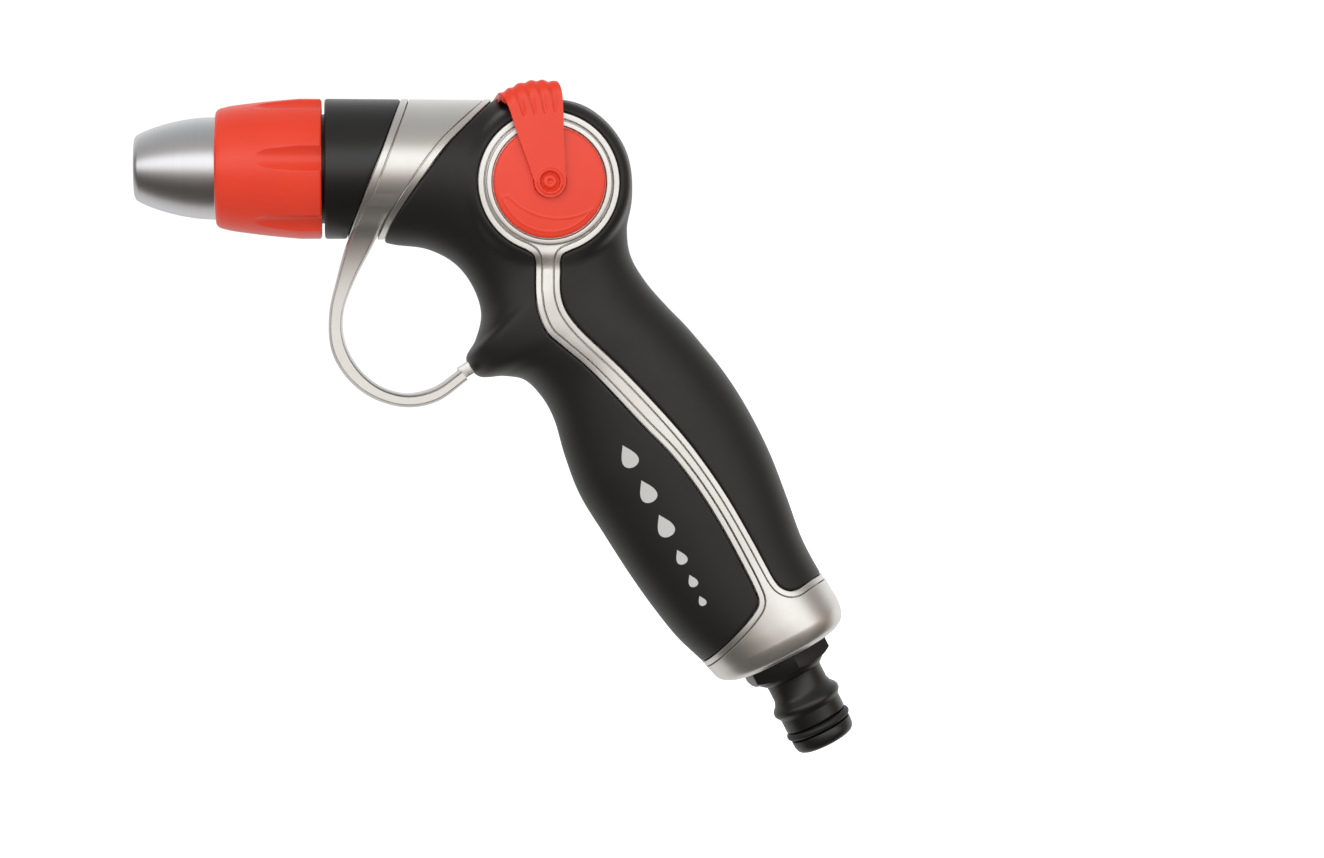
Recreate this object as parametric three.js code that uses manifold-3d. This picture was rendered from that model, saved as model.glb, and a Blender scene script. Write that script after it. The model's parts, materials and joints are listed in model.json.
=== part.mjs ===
// Pistol-grip water spray gun. A twist nozzle sets the jet, a thumb lever turns a side-to-side
// valve, a guard loop closes in front of the fingers and a quick-connect nipple takes the hose.
// Millimetres, +Z up, nozzle towards -X. The origin is the middle of the hand grip.
import * as THREE from 'three';
import { mergeVertices } from 'three/addons/utils/BufferGeometryUtils.js';
import Module from 'manifold-3d';

const wasm = await Module();
wasm.setup();

// The gun frame has the valve axis along Y through its zero. The grip's middle is placed from it.
const GRIP_MIDDLE = new THREE.Vector3(33, 0, -72);
const BARREL_RISE = 3.55;
const BARREL_R = 16.6;
const BARREL_FRONT = 52.3;
const HUB_R = 20.6;
const HUB_HALF = 16.9;
const HUB_EDGE = 3;
const WATERWAY_TILT = THREE.MathUtils.degToRad(27);

// Walls and clearances.
const GAP = 0.3;
const SEAL_GAP = 0.08;
const COVER_WALL = 2.4;
const TRIM_PROUD = 0.35;
const WATER_R = 4.5;

// Valve stack, measured outwards from the gun's mid-plane along the valve axis.
const ROTOR_R = 9;
const CHAMBER_R = ROTOR_R + GAP;
const CHAMBER_HALF = 12.4;
const PORT_R = 3.5;
const STEM_R = 5;
const OUTER_RING_R = 16.5;
const OUTER_RING_HALF = 17.6;
const CAP_R = 15;
const CAP_FACE = 18.4;
const DISC_R = 13.1;
const DISC_INNER = 17.5;
const DISC_OUTER = 19.4;
const ARM_INNER = 19.7;
const ARM_OUTER = 21.6;
const SCREW_HEAD_R = 2.3;
const SCREW_R = 1.5;
const LEVER_SWING = THREE.MathUtils.degToRad(75);

// Nozzle, measured forwards from the valve axis along the barrel.
const TIP_FRONT = 96.9;
const SLEEVE_FRONT = 77.8;
const SLEEVE_REAR = 53;
const SLEEVE_R = 16.6;
const SLEEVE_BORE_R = 13.2;
const FLUTES = 6;
const FLUTE_DEPTH = 1.5;
const FLUTE_HALF_WIDTH = 3.25;
const THREAD_R = 9.6;
const TUBE_R = 10.6;
const TUBE_FRONT = 70;
const TUBE_REAR = 31.5;
const ORIFICE_R = 3.2;

// Hose inlet, measured from the valve axis along the sloping waterway.
const BASE_END = 126.5;
const SOCKET_TOP = 111.4;
const SOCKET_R = 8.5;
const HEX_ACROSS_FLATS = 20;
const NIPPLE_END = 151.5;
const NIPPLE_BORE_R = 4.6;

// Facets on round pieces, from large to small.
const ROUND = 32;
const SMALL_ROUND = 16;
const FORM_SIDES = 20;

// Unit vectors of the waterway in the gun's side view: down it, and square to it towards the rear.
const DOWN = new THREE.Vector2(Math.sin(WATERWAY_TILT), -Math.cos(WATERWAY_TILT));
const ACROSS = new THREE.Vector2(Math.cos(WATERWAY_TILT), Math.sin(WATERWAY_TILT));

function onWaterway(along, across) {
  return DOWN.clone().multiplyScalar(along).addScaledVector(ACROSS, across);
}

// ---- Solids ---------------------------------------------------------------------------------

function signedVolume(positions, index) {
  const corners = [new THREE.Vector3(), new THREE.Vector3(), new THREE.Vector3()];
  let sum = 0;
  for (let i = 0; i < index.length; i += 3) {
    corners.forEach((corner, k) => corner.fromArray(positions, 3 * index[i + k]));
    sum += corners[0].dot(corners[1].cross(corners[2])) / 6;
  }
  return sum;
}

// Turns a closed three.js geometry into a solid that can be joined and cut.
function solid(geometry) {
  const bare = geometry.clone();
  bare.deleteAttribute('normal');
  bare.deleteAttribute('uv');
  const welded = mergeVertices(bare, 1e-3);
  const positions = Float32Array.from(welded.getAttribute('position').array);
  const all = welded.getIndex().array;
  const index = [];
  for (let i = 0; i < all.length; i += 3) {
    const [a, b, c] = [all[i], all[i + 1], all[i + 2]];
    if (a !== b && b !== c && c !== a) {
      index.push(a, b, c);
    }
  }
  if (signedVolume(positions, index) < 0) {
    index.reverse();
  }
  const triVerts = Uint32Array.from(index);
  return new wasm.Manifold(new wasm.Mesh({ numProp: 3, vertProperties: positions, triVerts }));
}

function joined(...solids) {
  return solids.reduce((whole, piece) => whole.add(piece));
}

function cutBy(body, ...cutters) {
  return cutters.reduce((left, cutter) => left.subtract(cutter), body);
}

function meshOf(name, body, finish) {
  const { vertProperties, triVerts, numProp } = body.getMesh();
  const positions = new Float32Array((vertProperties.length / numProp) * 3);
  for (let i = 0; i < positions.length / 3; i += 1) {
    for (let k = 0; k < 3; k += 1) {
      positions[3 * i + k] = vertProperties[numProp * i + k];
    }
  }
  const geometry = new THREE.BufferGeometry();
  geometry.setAttribute('position', new THREE.BufferAttribute(positions, 3));
  geometry.setIndex(new THREE.BufferAttribute(Uint32Array.from(triVerts), 1));
  geometry.computeVertexNormals();
  const mesh = new THREE.Mesh(geometry, new THREE.MeshStandardMaterial(finish));
  mesh.name = name;
  return mesh;
}

// A body of revolution about local Y from [distance along Y, radius] pairs. A ring's profile
// closes on itself and a plain body's profile starts and ends on the axis.
function turned(profile, facets = ROUND) {
  const points = profile.map(([along, radius]) => new THREE.Vector2(radius, along));
  if (points[0].x > 0) {
    points.push(points[0].clone());
  }
  return new THREE.LatheGeometry(points, facets);
}

function disc(radius, low, high, facets = ROUND) {
  return turned([[low, 0], [low, radius], [high, radius], [high, 0]], facets);
}

function ring(innerRadius, outerRadius, low, high, facets = ROUND) {
  return turned([[low, innerRadius], [low, outerRadius], [high, outerRadius], [high, innerRadius]], facets);
}

function torus(radius, section, along) {
  const geometry = new THREE.TorusGeometry(radius, section, 6, ROUND);
  geometry.rotateX(Math.PI / 2);
  return geometry.translate(0, along, 0);
}

function outline(points) {
  return new THREE.Shape(points.map(([x, z]) => new THREE.Vector2(x, z)));
}

// A side-view outline given thickness across the gun, from -half to +half.
function plate(shape, half, edge = 0) {
  const geometry = new THREE.ExtrudeGeometry(shape, {
    depth: 2 * (half - edge),
    curveSegments: 3,
    bevelEnabled: edge > 0,
    bevelThickness: edge,
    bevelSize: edge,
    bevelOffset: -edge,
    bevelSegments: 1,
  });
  return geometry.translate(0, 0, edge - half).rotateX(Math.PI / 2);
}

// Stands geometry made about local Y on the barrel, so that Y runs forwards along it.
function onBarrel(geometry) {
  return geometry.rotateZ(Math.PI / 2).translate(0, 0, BARREL_RISE);
}

// Lays geometry made about local Y along the sloping waterway.
function downWaterway(geometry) {
  return geometry.rotateX(-Math.PI / 2).rotateY(-WATERWAY_TILT);
}

// ---- Main form of the gun -------------------------------------------------------------------

// Ribs across the side view, each from the finger side to the back of the hand, with the half
// width of the gun there and how square its section is (2 is an ellipse).
const BARREL_RIBS = [
  [-BARREL_FRONT, -13.05, -BARREL_FRONT, 20.15, 16.6, 2],
  [-42, -13.05, -38, 20.15, 16.6, 2],
  [-36, -14.4, -26, 20.15, 16.6, 2.1],
  [-28, -15.5, -14, 20.15, 16.5, 2.2],
  [-21.5, -18.9, -2, 20.2, 16.3, 2.3],
  [-17.2, -24.4, 10, 18, 16.3, 2.4],
  [-15.2, -31, 18.6, 8.6, 16.3, 2.5],
  [-16.6, -37.3, 20.4, -3, 16.55, 2.5],
  [-18.8, -41.8, 19.7, -11, 16.65, 2.5],
  [-16, -45.8, 20.6, -17, 16.5, 2.5],
  [-9.8, -45.8, 24, -22.9, 16.3, 2.5],
];
// The same below the throat, as [distance along the waterway, finger side, back of the hand,
// half width, squareness], both sides measured square to the waterway.
const HANDLE_RIBS = [
  [39.4, -25.6, 13, 16.2, 2.5],
  [45, -23.7, 14.8, 16.1, 2.4],
  [51, -23.5, 16.3, 16.2, 2.4],
  [60, -25.2, 18.2, 16.4, 2.3],
  [70, -26.3, 19.2, 16.6, 2.3],
  [82, -25.4, 19.2, 16.6, 2.3],
  [94, -24.2, 18, 16.5, 2.3],
  [104, -22.7, 16.8, 16.4, 2.3],
  [112, -21, 16.9, 16.4, 2.3],
  [118, -18.9, 17.4, 16.4, 2.3],
  [122, -17.5, 17.6, 16.3, 2.3],
  [125.3, -16.4, 16.6, 15.3, 2.3],
  [BASE_END, -14.6, 14.9, 13.6, 2.3],
];

const RIBS = [
  ...BARREL_RIBS,
  ...HANDLE_RIBS.map(([along, front, back, half, squareness]) => [
    ...onWaterway(along, front).toArray(),
    ...onWaterway(along, back).toArray(),
    half,
    squareness,
  ]),
];
const FINGER_EDGE = new THREE.CatmullRomCurve3(RIBS.map(([x, z]) => new THREE.Vector3(x, 0, z)));
const BACK_EDGE = new THREE.CatmullRomCurve3(RIBS.map(([, , x, z]) => new THREE.Vector3(x, 0, z)));
const SECTION = new THREE.CatmullRomCurve3(RIBS.map(([, , , , half, n]) => new THREE.Vector3(half, n, 0)));

function superellipse(coordinate, squareness) {
  return Math.sign(coordinate) * Math.abs(coordinate) ** (2 / squareness);
}

// The lofted gun: a unit cylinder whose rings are laid on the ribs. offset grows every section.
function gunForm(offset) {
  const form = new THREE.CylinderGeometry(1, 1, 1, FORM_SIDES, RIBS.length - 1);
  const place = form.getAttribute('position');
  const point = new THREE.Vector3();
  for (let i = 0; i < place.count; i += 1) {
    const along = 0.5 - place.getY(i);
    const finger = FINGER_EDGE.getPoint(along);
    const back = BACK_EDGE.getPoint(along);
    const { x: half, y: squareness } = SECTION.getPoint(along);
    const reach = back.clone().sub(finger);
    const outwards = reach.clone().normalize();
    point.addVectors(finger, back).multiplyScalar(0.5);
    const depth = superellipse(place.getX(i), squareness) * (reach.length() / 2 + offset);
    point.addScaledVector(outwards, depth);
    point.y = superellipse(place.getZ(i), squareness) * (half + offset);
    place.setXYZ(i, point.x, point.y, point.z);
  }
  return solid(form);
}

// The round hub about the valve axis, with softened edges.
function hubForm(offset) {
  const radius = HUB_R + offset;
  const half = HUB_HALF + offset;
  return solid(turned([
    [-half, 0],
    [-half, radius - HUB_EDGE],
    [-half + HUB_EDGE / 3, radius - HUB_EDGE / 3],
    [-half + HUB_EDGE, radius],
    [half - HUB_EDGE, radius],
    [half - HUB_EDGE / 3, radius - HUB_EDGE / 3],
    [half, radius - HUB_EDGE],
    [half, 0],
  ]));
}

// ---- Side-view borders between the silver and the black pieces -------------------------------

// The band's two borders, from the top of the barrel to its underside.
const BAND_FRONT_BORDER = [[-33.7, 21.5], [-38.9, 7.2], [-41.9, -0.6], [-45, -8.3], [-47.4, -14.6]];
const BAND_REAR_BORDER = [[-10.5, 21.5], [-17.5, 15.3], [-23.5, 9.2], [-30.4, -0.1], [-36.6, -9.3], [-39.5, -15]];

// The silver spine's border against the front grip, from the ring down and round to the front of
// the handle, and its border against the rear grip, from the back of the handle up to the ring.
const SPINE_FRONT_BORDER = [
  [-3, -12], [-3, -26.6], [-2.2, -31.1], [-0.2, -35.3], [3.3, -38.4], [9.4, -43.6], [22.4, -57.3],
  [28.8, -63.8], [34.6, -71.4], [40.3, -80.2], [48.7, -95.7], [49.8, -98.6], [49.7, -100.1],
  [48.1, -102.8], [44.2, -107.4], [41.3, -110.8], [38.3, -113.4], [34, -116.2],
];
const SPINE_REAR_BORDER = [
  [72, -87.2], [64.7, -93.1], [62, -95.1], [59.1, -96.7], [57.1, -96.9], [55.1, -96], [53.4, -94.3],
  [48.3, -84.7], [42, -73.9], [36.1, -65.3], [30.3, -58], [18.1, -44.9], [6.8, -34.2],
  [3.8, -29.8], [2.7, -26], [2.6, -12],
];

// Moves every point of a border sideways, to its left seen along it from first to last.
function shifted(border, distance) {
  return border.map(([x, z], i) => {
    const [beforeX, beforeZ] = border[Math.max(i - 1, 0)];
    const [afterX, afterZ] = border[Math.min(i + 1, border.length - 1)];
    const length = Math.hypot(afterX - beforeX, afterZ - beforeZ);
    const left = [-(afterZ - beforeZ) / length, (afterX - beforeX) / length];
    return [x + left[0] * distance, z + left[1] * distance];
  });
}

// Everything inside the silver ring, spine and base collar in side view. inset narrows it.
function silverWindow(inset) {
  const below = [[34, -140], [95, -140], [95, -87.2]];
  const spine = [
    ...shifted(SPINE_FRONT_BORDER, inset),
    ...below,
    ...shifted(SPINE_REAR_BORDER, inset),
  ];
  const reach = 40;
  const circle = disc(OUTER_RING_R + GAP - inset, -reach, reach);
  return joined(solid(plate(outline(spine), reach)), solid(circle));
}

// Everything ahead of a border in side view.
function aheadOf(border) {
  const far = [[-80, border.at(-1)[1]], [-80, border[0][1]]];
  return solid(plate(outline([...border, ...far]), 40));
}

// ---- Guard loop ------------------------------------------------------------------------------

const GUARD_HALF = 6.5;
const SPIGOT = { length: 6, thickness: 3, half: 3.6, angle: THREE.MathUtils.degToRad(32) };
const SPIGOT_MIDDLE = [-17.2, -43.3];

function guardStrap() {
  const outer = [
    [-47.1, -14], [-49.7, -23], [-51.4, -31], [-50.9, -39.5], [-47.4, -46], [-41.5, -50.8],
    [-33.5, -53.1], [-26, -51.8], [-18.6, -46.6],
  ];
  const inner = [
    [-26.5, -48.5], [-33, -49.9], [-39.5, -48], [-44.8, -43.3], [-47.8, -37], [-48, -30.5],
    [-45.6, -23.5], [-40.6, -13.8],
  ];
  const curved = (points) => {
    const curve = new THREE.SplineCurve(points.map(([x, z]) => new THREE.Vector2(x, z)));
    return curve.getPoints(2 * points.length).map((point) => point.toArray());
  };
  const loop = [[-46, -11.3], ...curved(outer), [-20.4, -44.3], ...curved(inner), [-40.6, -11.3]];
  return solid(plate(outline(loop), GUARD_HALF, 0.8));
}

function spigot(clearance) {
  const grow = 2 * clearance;
  const block = new THREE.BoxGeometry(
    SPIGOT.length + grow,
    2 * SPIGOT.half + grow,
    SPIGOT.thickness + grow,
  );
  block.rotateY(-SPIGOT.angle);
  return solid(block.translate(SPIGOT_MIDDLE[0], 0, SPIGOT_MIDDLE[1]));
}

// ---- Outer pieces ----------------------------------------------------------------------------

const SILVER = { color: 0xd3d4d3, roughness: 0.32, metalness: 0.55 };
const BLACK_SOFT = { color: 0x262624, roughness: 0.7, metalness: 0 };
const BLACK_HARD = { color: 0x1e1e1d, roughness: 0.5, metalness: 0 };
const RED = { color: 0xe4412d, roughness: 0.42, metalness: 0 };
const ALUMINIUM = { color: 0xc3c6c9, roughness: 0.3, metalness: 1 };
const BRASS = { color: 0xb99b58, roughness: 0.35, metalness: 1 };
const WHITE_ACETAL = { color: 0xe9e8e2, roughness: 0.45, metalness: 0 };
const SEAL_RUBBER = { color: 0x141414, roughness: 0.6, metalness: 0 };
const STEEL = { color: 0x9ea2a6, roughness: 0.35, metalness: 1 };

// Bores of the gun body: valve chamber with its two cap seats, outlet, barrel and inlet.
function bodyBores() {
  const seatPocket = ring(0.01, 6.8, 8, 13.2, SMALL_ROUND);
  return [
    solid(disc(CHAMBER_R, -CHAMBER_HALF - 1, CHAMBER_HALF + 1)),
    solid(disc(CAP_R + GAP, CHAMBER_HALF, 30)),
    solid(disc(CAP_R + GAP, -30, -CHAMBER_HALF)),
    solid(onBarrel(disc(WATER_R, 6, 60, SMALL_ROUND))),
    solid(onBarrel(disc(TUBE_R + GAP, TUBE_REAR - GAP, 60))),
    solid(onBarrel(seatPocket.clone())),
    solid(downWaterway(seatPocket.clone())),
    solid(downWaterway(disc(WATER_R, 6, 120, SMALL_ROUND))),
    solid(downWaterway(disc(SOCKET_R, SOCKET_TOP, 140))),
  ];
}

function gunBody() {
  const core = joined(gunForm(-COVER_WALL - GAP), hubForm(-COVER_WALL - GAP));
  const sideRing = disc(OUTER_RING_R, -OUTER_RING_HALF, OUTER_RING_HALF);
  const skin = joined(gunForm(TRIM_PROUD), hubForm(0), solid(sideRing));
  const trim = skin.intersect(silverWindow(GAP));
  const aroundBarrel = solid(onBarrel(ring(BARREL_R - COVER_WALL - GAP, 30, 5, 60)));
  const bandZone = aroundBarrel.intersect(aheadOf(shifted(BAND_REAR_BORDER, GAP)));
  return cutBy(joined(core, trim), bandZone, spigot(GAP), ...bodyBores());
}

function gripCover() {
  const shell = joined(gunForm(0), hubForm(0));
  const inside = joined(gunForm(-COVER_WALL), hubForm(-COVER_WALL));
  const ahead = aheadOf(shifted(BAND_REAR_BORDER, GAP));
  return cutBy(shell, inside, ahead, silverWindow(0), spigot(GAP));
}

function barrelSkin(outerRadius) {
  return solid(onBarrel(ring(BARREL_R - COVER_WALL, outerRadius, 5, BARREL_FRONT)));
}

function frontCollar() {
  return barrelSkin(BARREL_R).intersect(aheadOf(shifted(BAND_FRONT_BORDER, -GAP)));
}

function fingerGuard() {
  const behindFront = cutBy(barrelSkin(BARREL_R + 0.2), aheadOf(BAND_FRONT_BORDER));
  const band = behindFront.intersect(aheadOf(BAND_REAR_BORDER));
  return joined(band, guardStrap(), spigot(0));
}

// ---- Valve and lever -------------------------------------------------------------------------

// A port drilled into the rotor from its centre, at an angle in the side view when open.
function port(x, z) {
  const angle = Math.atan2(x, z) - LEVER_SWING;
  const hole = disc(PORT_R, 0, 14, SMALL_ROUND).rotateX(Math.PI / 2);
  return solid(hole.rotateY(angle));
}

function rotor() {
  const half = CHAMBER_HALF - GAP;
  const grooveFloor = 7.9;
  const side = [
    [9.6, ROTOR_R], [9.6, grooveFloor], [11.2, grooveFloor], [11.2, ROTOR_R], [half, ROTOR_R],
    [half, STEM_R], [DISC_OUTER, STEM_R], [DISC_OUTER, SCREW_R + GAP], [10, SCREW_R + GAP], [10, 0],
  ];
  const mirrored = side.map(([along, radius]) => [-along, radius]).reverse();
  const keyFlats = new THREE.BoxGeometry(3, 4, 12);
  const flats = [-1, 1].flatMap((end) => [-1, 1].map((edge) => {
    const centre = edge * (3.6 + 1.5);
    return solid(keyFlats.clone().translate(centre, end * (DISC_INNER - GAP + 2), 0));
  }));
  const body = solid(turned([...mirrored, ...side]));
  const outlet = port(-Math.sqrt(ROTOR_R ** 2 - BARREL_RISE ** 2), BARREL_RISE);
  return cutBy(body, outlet, port(DOWN.x, DOWN.y), ...flats);
}

function seat() {
  const blank = ring(3.6, 6.5, 8.6, 12.9, SMALL_ROUND);
  return { blank, saddle: solid(disc(CHAMBER_R, -10, 10)) };
}

function outletSeat() {
  const { blank, saddle } = seat();
  return cutBy(solid(onBarrel(blank)), saddle);
}

function inletSeat() {
  const { blank, saddle } = seat();
  return cutBy(solid(downWaterway(blank)), saddle);
}

// The bearing cap that closes one side of the valve chamber. Its rim is the inner silver ring.
function valveCap() {
  return solid(turned([
    [CHAMBER_HALF + GAP, STEM_R + GAP],
    [CHAMBER_HALF + GAP, CAP_R],
    [CAP_FACE, CAP_R],
    [CAP_FACE, DISC_R + GAP],
    [DISC_INNER - GAP, DISC_R + GAP],
    [DISC_INNER - GAP, STEM_R + GAP],
  ]));
}

function leverDisc() {
  const keyhole = solid(disc(STEM_R + GAP, 0, 30, SMALL_ROUND));
  const width = 2 * (3.6 + GAP);
  const slot = solid(new THREE.BoxGeometry(width, 60, 2 * STEM_R + 2));
  const face = solid(turned([
    [DISC_INNER, 0],
    [DISC_INNER, DISC_R],
    [DISC_OUTER - 0.4, DISC_R],
    [DISC_OUTER, DISC_R - 0.6],
    [DISC_OUTER, 0],
  ]));
  return cutBy(face, keyhole.intersect(slot));
}

function pivotScrew() {
  return solid(turned([
    [11, 0],
    [11, SCREW_R],
    [ARM_OUTER - 1.1, SCREW_R],
    [ARM_OUTER - 1.1, SCREW_HEAD_R],
    [ARM_OUTER - 0.4, SCREW_HEAD_R],
    [ARM_OUTER, SCREW_HEAD_R * 0.6],
    [ARM_OUTER, 0],
  ], SMALL_ROUND));
}

const PAD = { ribs: 5, crest: 24.4, valley: 23.7, first: -27, last: 9 };
const PAD_UNDERSIDE = 21.1;

function polar(radius, degreesBack) {
  const angle = THREE.MathUtils.degToRad(degreesBack);
  return [radius * Math.sin(angle), radius * Math.cos(angle)];
}

// The thumb pad over the hub, ribbed across, from its rear end forwards and back underneath.
function padOutline() {
  const points = [];
  const stepsPerRib = 4;
  const steps = PAD.ribs * stepsPerRib;
  for (let i = 0; i <= steps; i += 1) {
    const wave = Math.abs(Math.sin((Math.PI * i) / stepsPerRib));
    const degrees = THREE.MathUtils.lerp(PAD.last, PAD.first, i / steps);
    points.push(polar(THREE.MathUtils.lerp(PAD.valley, PAD.crest, wave), degrees));
  }
  const [frontX] = polar(PAD.valley, PAD.first);
  points.push([frontX, 20.6], [-4.4, 20.6]);
  for (const degrees of [-6, 0, 4, PAD.last]) {
    points.push(polar(PAD_UNDERSIDE, degrees));
  }
  return points;
}

function armOutline() {
  const arm = new THREE.Shape();
  const bossR = 3.7;
  arm.moveTo(...polar(PAD.valley - 0.6, PAD.last - 1));
  arm.lineTo(bossR, 0);
  arm.absarc(0, 0, bossR, 0, Math.PI, true);
  arm.lineTo(-5.1, 5);
  arm.lineTo(-6.9, 10);
  arm.lineTo(...polar(21.3, -28));
  arm.lineTo(...polar(PAD.valley - 0.6, PAD.first + 1));
  return arm;
}

function thumbLever() {
  const thickness = ARM_OUTER - ARM_INNER;
  const arms = [-1, 1].map((side) => {
    const arm = plate(armOutline(), thickness / 2);
    return solid(arm.translate(0, side * (ARM_INNER + thickness / 2), 0));
  });
  const pad = solid(plate(outline(padOutline()), ARM_OUTER, 0.4));
  const screwHoles = solid(disc(SCREW_R + GAP, -30, 30, SMALL_ROUND));
  const recesses = [-1, 1].map((side) => {
    const [near, far] = [ARM_OUTER - 1.4, ARM_OUTER + 3];
    const [low, high] = side > 0 ? [near, far] : [-far, -near];
    return solid(disc(SCREW_HEAD_R + GAP, low, high, SMALL_ROUND));
  });
  return cutBy(joined(pad, ...arms), screwHoles, ...recesses);
}

// ---- Nozzle ----------------------------------------------------------------------------------

function nozzleTip() {
  return solid(turned([
    [55.5, 11.9], [55.5, 12.9], [77.4, 12.9], [77.9, 12.1], [81.8, 11.9], [84.2, 11.6], [86.6, 11.15],
    [89, 10.55], [91.4, 9.85], [93.8, 9], [95.4, 8.35], [96.5, 7.7], [TIP_FRONT, 7.1], [TIP_FRONT, 6.2],
    [93.5, ORIFICE_R], [91, ORIFICE_R], [88, 7.5], [71, 7.5], [71, 11.9],
  ]));
}

function adjustingSleeve() {
  const blank = solid(turned([
    [SLEEVE_REAR, SLEEVE_BORE_R], [SLEEVE_REAR, SLEEVE_R], [58, SLEEVE_R], [60.2, 16.4], [65, 15.95],
    [69.8, 15.4], [74.6, 14.8], [76.8, 14.2], [SLEEVE_FRONT, 13.6], [SLEEVE_FRONT, SLEEVE_BORE_R],
  ]));
  const cutterR = (FLUTE_HALF_WIDTH ** 2 + FLUTE_DEPTH ** 2) / (2 * FLUTE_DEPTH);
  const axisR = SLEEVE_R - FLUTE_DEPTH + cutterR;
  const flutes = [];
  for (let i = 0; i < FLUTES; i += 1) {
    const flute = disc(cutterR, SLEEVE_REAR - 2, 70.5, SMALL_ROUND);
    flute.translate(0, 0, axisR).rotateY((i * 2 * Math.PI) / FLUTES + Math.PI / FLUTES);
    flutes.push(solid(flute));
  }
  return cutBy(blank, ...flutes);
}

function threadInsert() {
  const grooveR = 10.75;
  return solid(turned([
    [54, THREAD_R + GAP], [54, 11.6], [70.5, 11.6], [70.5, THREAD_R + GAP], [69.1, THREAD_R + GAP],
    [69.1, grooveR], [67.9, grooveR], [67.9, THREAD_R + GAP],
  ]));
}

function nozzleSeal() {
  const section = 0.5;
  return solid(torus(THREAD_R + SEAL_GAP + section, section, 68.5));
}

function barrelTube() {
  const bore = 6.6;
  const grooveFloor = 9.5;
  return solid(turned([
    [TUBE_REAR, WATER_R], [TUBE_REAR, TUBE_R], [34.2, TUBE_R], [34.2, grooveFloor], [35.8, grooveFloor],
    [35.8, TUBE_R], [51.8, TUBE_R], [51.8, THREAD_R], [TUBE_FRONT, THREAD_R], [TUBE_FRONT, bore],
    [43, bore], [43, WATER_R],
  ]));
}

function barrelSeal() {
  const section = 0.6;
  const wall = TUBE_R + GAP - SEAL_GAP;
  return solid(torus(wall - section, section, 35));
}

// The fixed needle in the nozzle's middle. Three legs centre it in the barrel tube.
function sprayStem() {
  const needle = solid(turned([
    [43.5, 0], [43.5, 2.6], [50, 2.6], [51.5, 1.6], [89, 1.6], [92, 2.6], [94, 2.6], [95.4, 1.2], [95.4, 0],
  ], SMALL_ROUND));
  const legs = [0, 1, 2].map((i) => {
    const leg = new THREE.BoxGeometry(1.4, 5, 6.2).translate(0, 46.5, 3.1);
    return solid(leg.rotateY((i * 2 * Math.PI) / 3));
  });
  return joined(needle, ...legs);
}

// ---- Hose inlet ------------------------------------------------------------------------------

function hoseNipple() {
  const hexCornerR = HEX_ACROSS_FLATS / Math.sqrt(3);
  const hexHeight = 4.2;
  const hex = new THREE.CylinderGeometry(hexCornerR, hexCornerR, hexHeight, 6);
  hex.rotateY(Math.PI / 36).translate(0, BASE_END + GAP + hexHeight / 2, 0);
  const spindle = turned([
    [SOCKET_TOP + 3, 0], [SOCKET_TOP + 3, SOCKET_R - GAP], [127.5, SOCKET_R - GAP], [131, 9.7],
    [132.4, 8], [133, 7.05], [137.3, 7.05], [139.4, 8.65], [141, 8.65], [142, 7.7], [145.2, 7.7],
    [145.4, 6.5], [147.8, 6.5], [148, 7.8], [150, 7.8], [NIPPLE_END, 6.4], [NIPPLE_END, 0],
  ]);
  const bore = disc(NIPPLE_BORE_R, SOCKET_TOP, 160, SMALL_ROUND);
  return cutBy(joined(solid(spindle), solid(hex)), solid(bore));
}

function nippleSeal() {
  return solid(torus(7.45, 0.85, 146.6));
}

function inletWasher() {
  return solid(ring(NIPPLE_BORE_R, SOCKET_R - GAP, SOCKET_TOP + 1.2, SOCKET_TOP + 2.7, SMALL_ROUND));
}

// A slotted basket that hangs up the waterway from its flange.
function inletFilter() {
  const [top, flangeLow, flangeHigh] = [98, SOCKET_TOP + GAP, SOCKET_TOP + 0.9];
  const [innerR, outerR] = [3.5, 4.1];
  const basket = solid(turned([
    [top, 0], [top, outerR], [flangeLow, outerR], [flangeLow, SOCKET_R - GAP],
    [flangeHigh, SOCKET_R - GAP], [flangeHigh, innerR], [top + 0.8, innerR], [top + 0.8, 0],
  ], SMALL_ROUND));
  const slots = [0, 1].map((i) => {
    const slot = new THREE.BoxGeometry(1.2, 9, 20).translate(0, 104.5, 0);
    return solid(slot.rotateY((i * Math.PI) / 2));
  });
  return cutBy(basket, ...slots);
}

// ---- Assembly --------------------------------------------------------------------------------

const gun = new THREE.Group();
gun.position.copy(GRIP_MIDDLE).negate();
gun.add(
  meshOf('gun_body', gunBody(), SILVER),
  meshOf('grip_cover', gripCover(), BLACK_SOFT),
  meshOf('front_collar', frontCollar(), BLACK_HARD),
  meshOf('finger_guard', fingerGuard(), SILVER),
  meshOf('outlet_seat', outletSeat(), WHITE_ACETAL),
  meshOf('inlet_seat', inletSeat(), WHITE_ACETAL),
  meshOf('thumb_lever', thumbLever(), RED),
  meshOf('valve_rotor', rotor(), WHITE_ACETAL),
);

// The valve axis carries the same stack of pieces on the left and, turned over, on the right.
const sides = { left: Math.PI, right: 0 };
for (const [side, turn] of Object.entries(sides)) {
  const stack = new THREE.Group();
  stack.rotation.x = turn;
  const sealSection = 0.65;
  stack.add(
    meshOf(`valve_cap_${side}`, valveCap(), SILVER),
    meshOf(`lever_disc_${side}`, leverDisc(), RED),
    meshOf(`pivot_screw_${side}`, pivotScrew(), RED),
    meshOf(
      `rotor_seal_${side}`,
      solid(torus(CHAMBER_R - SEAL_GAP - sealSection, sealSection, 10.4)),
      SEAL_RUBBER,
    ),
  );
  gun.add(stack);
}

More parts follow.
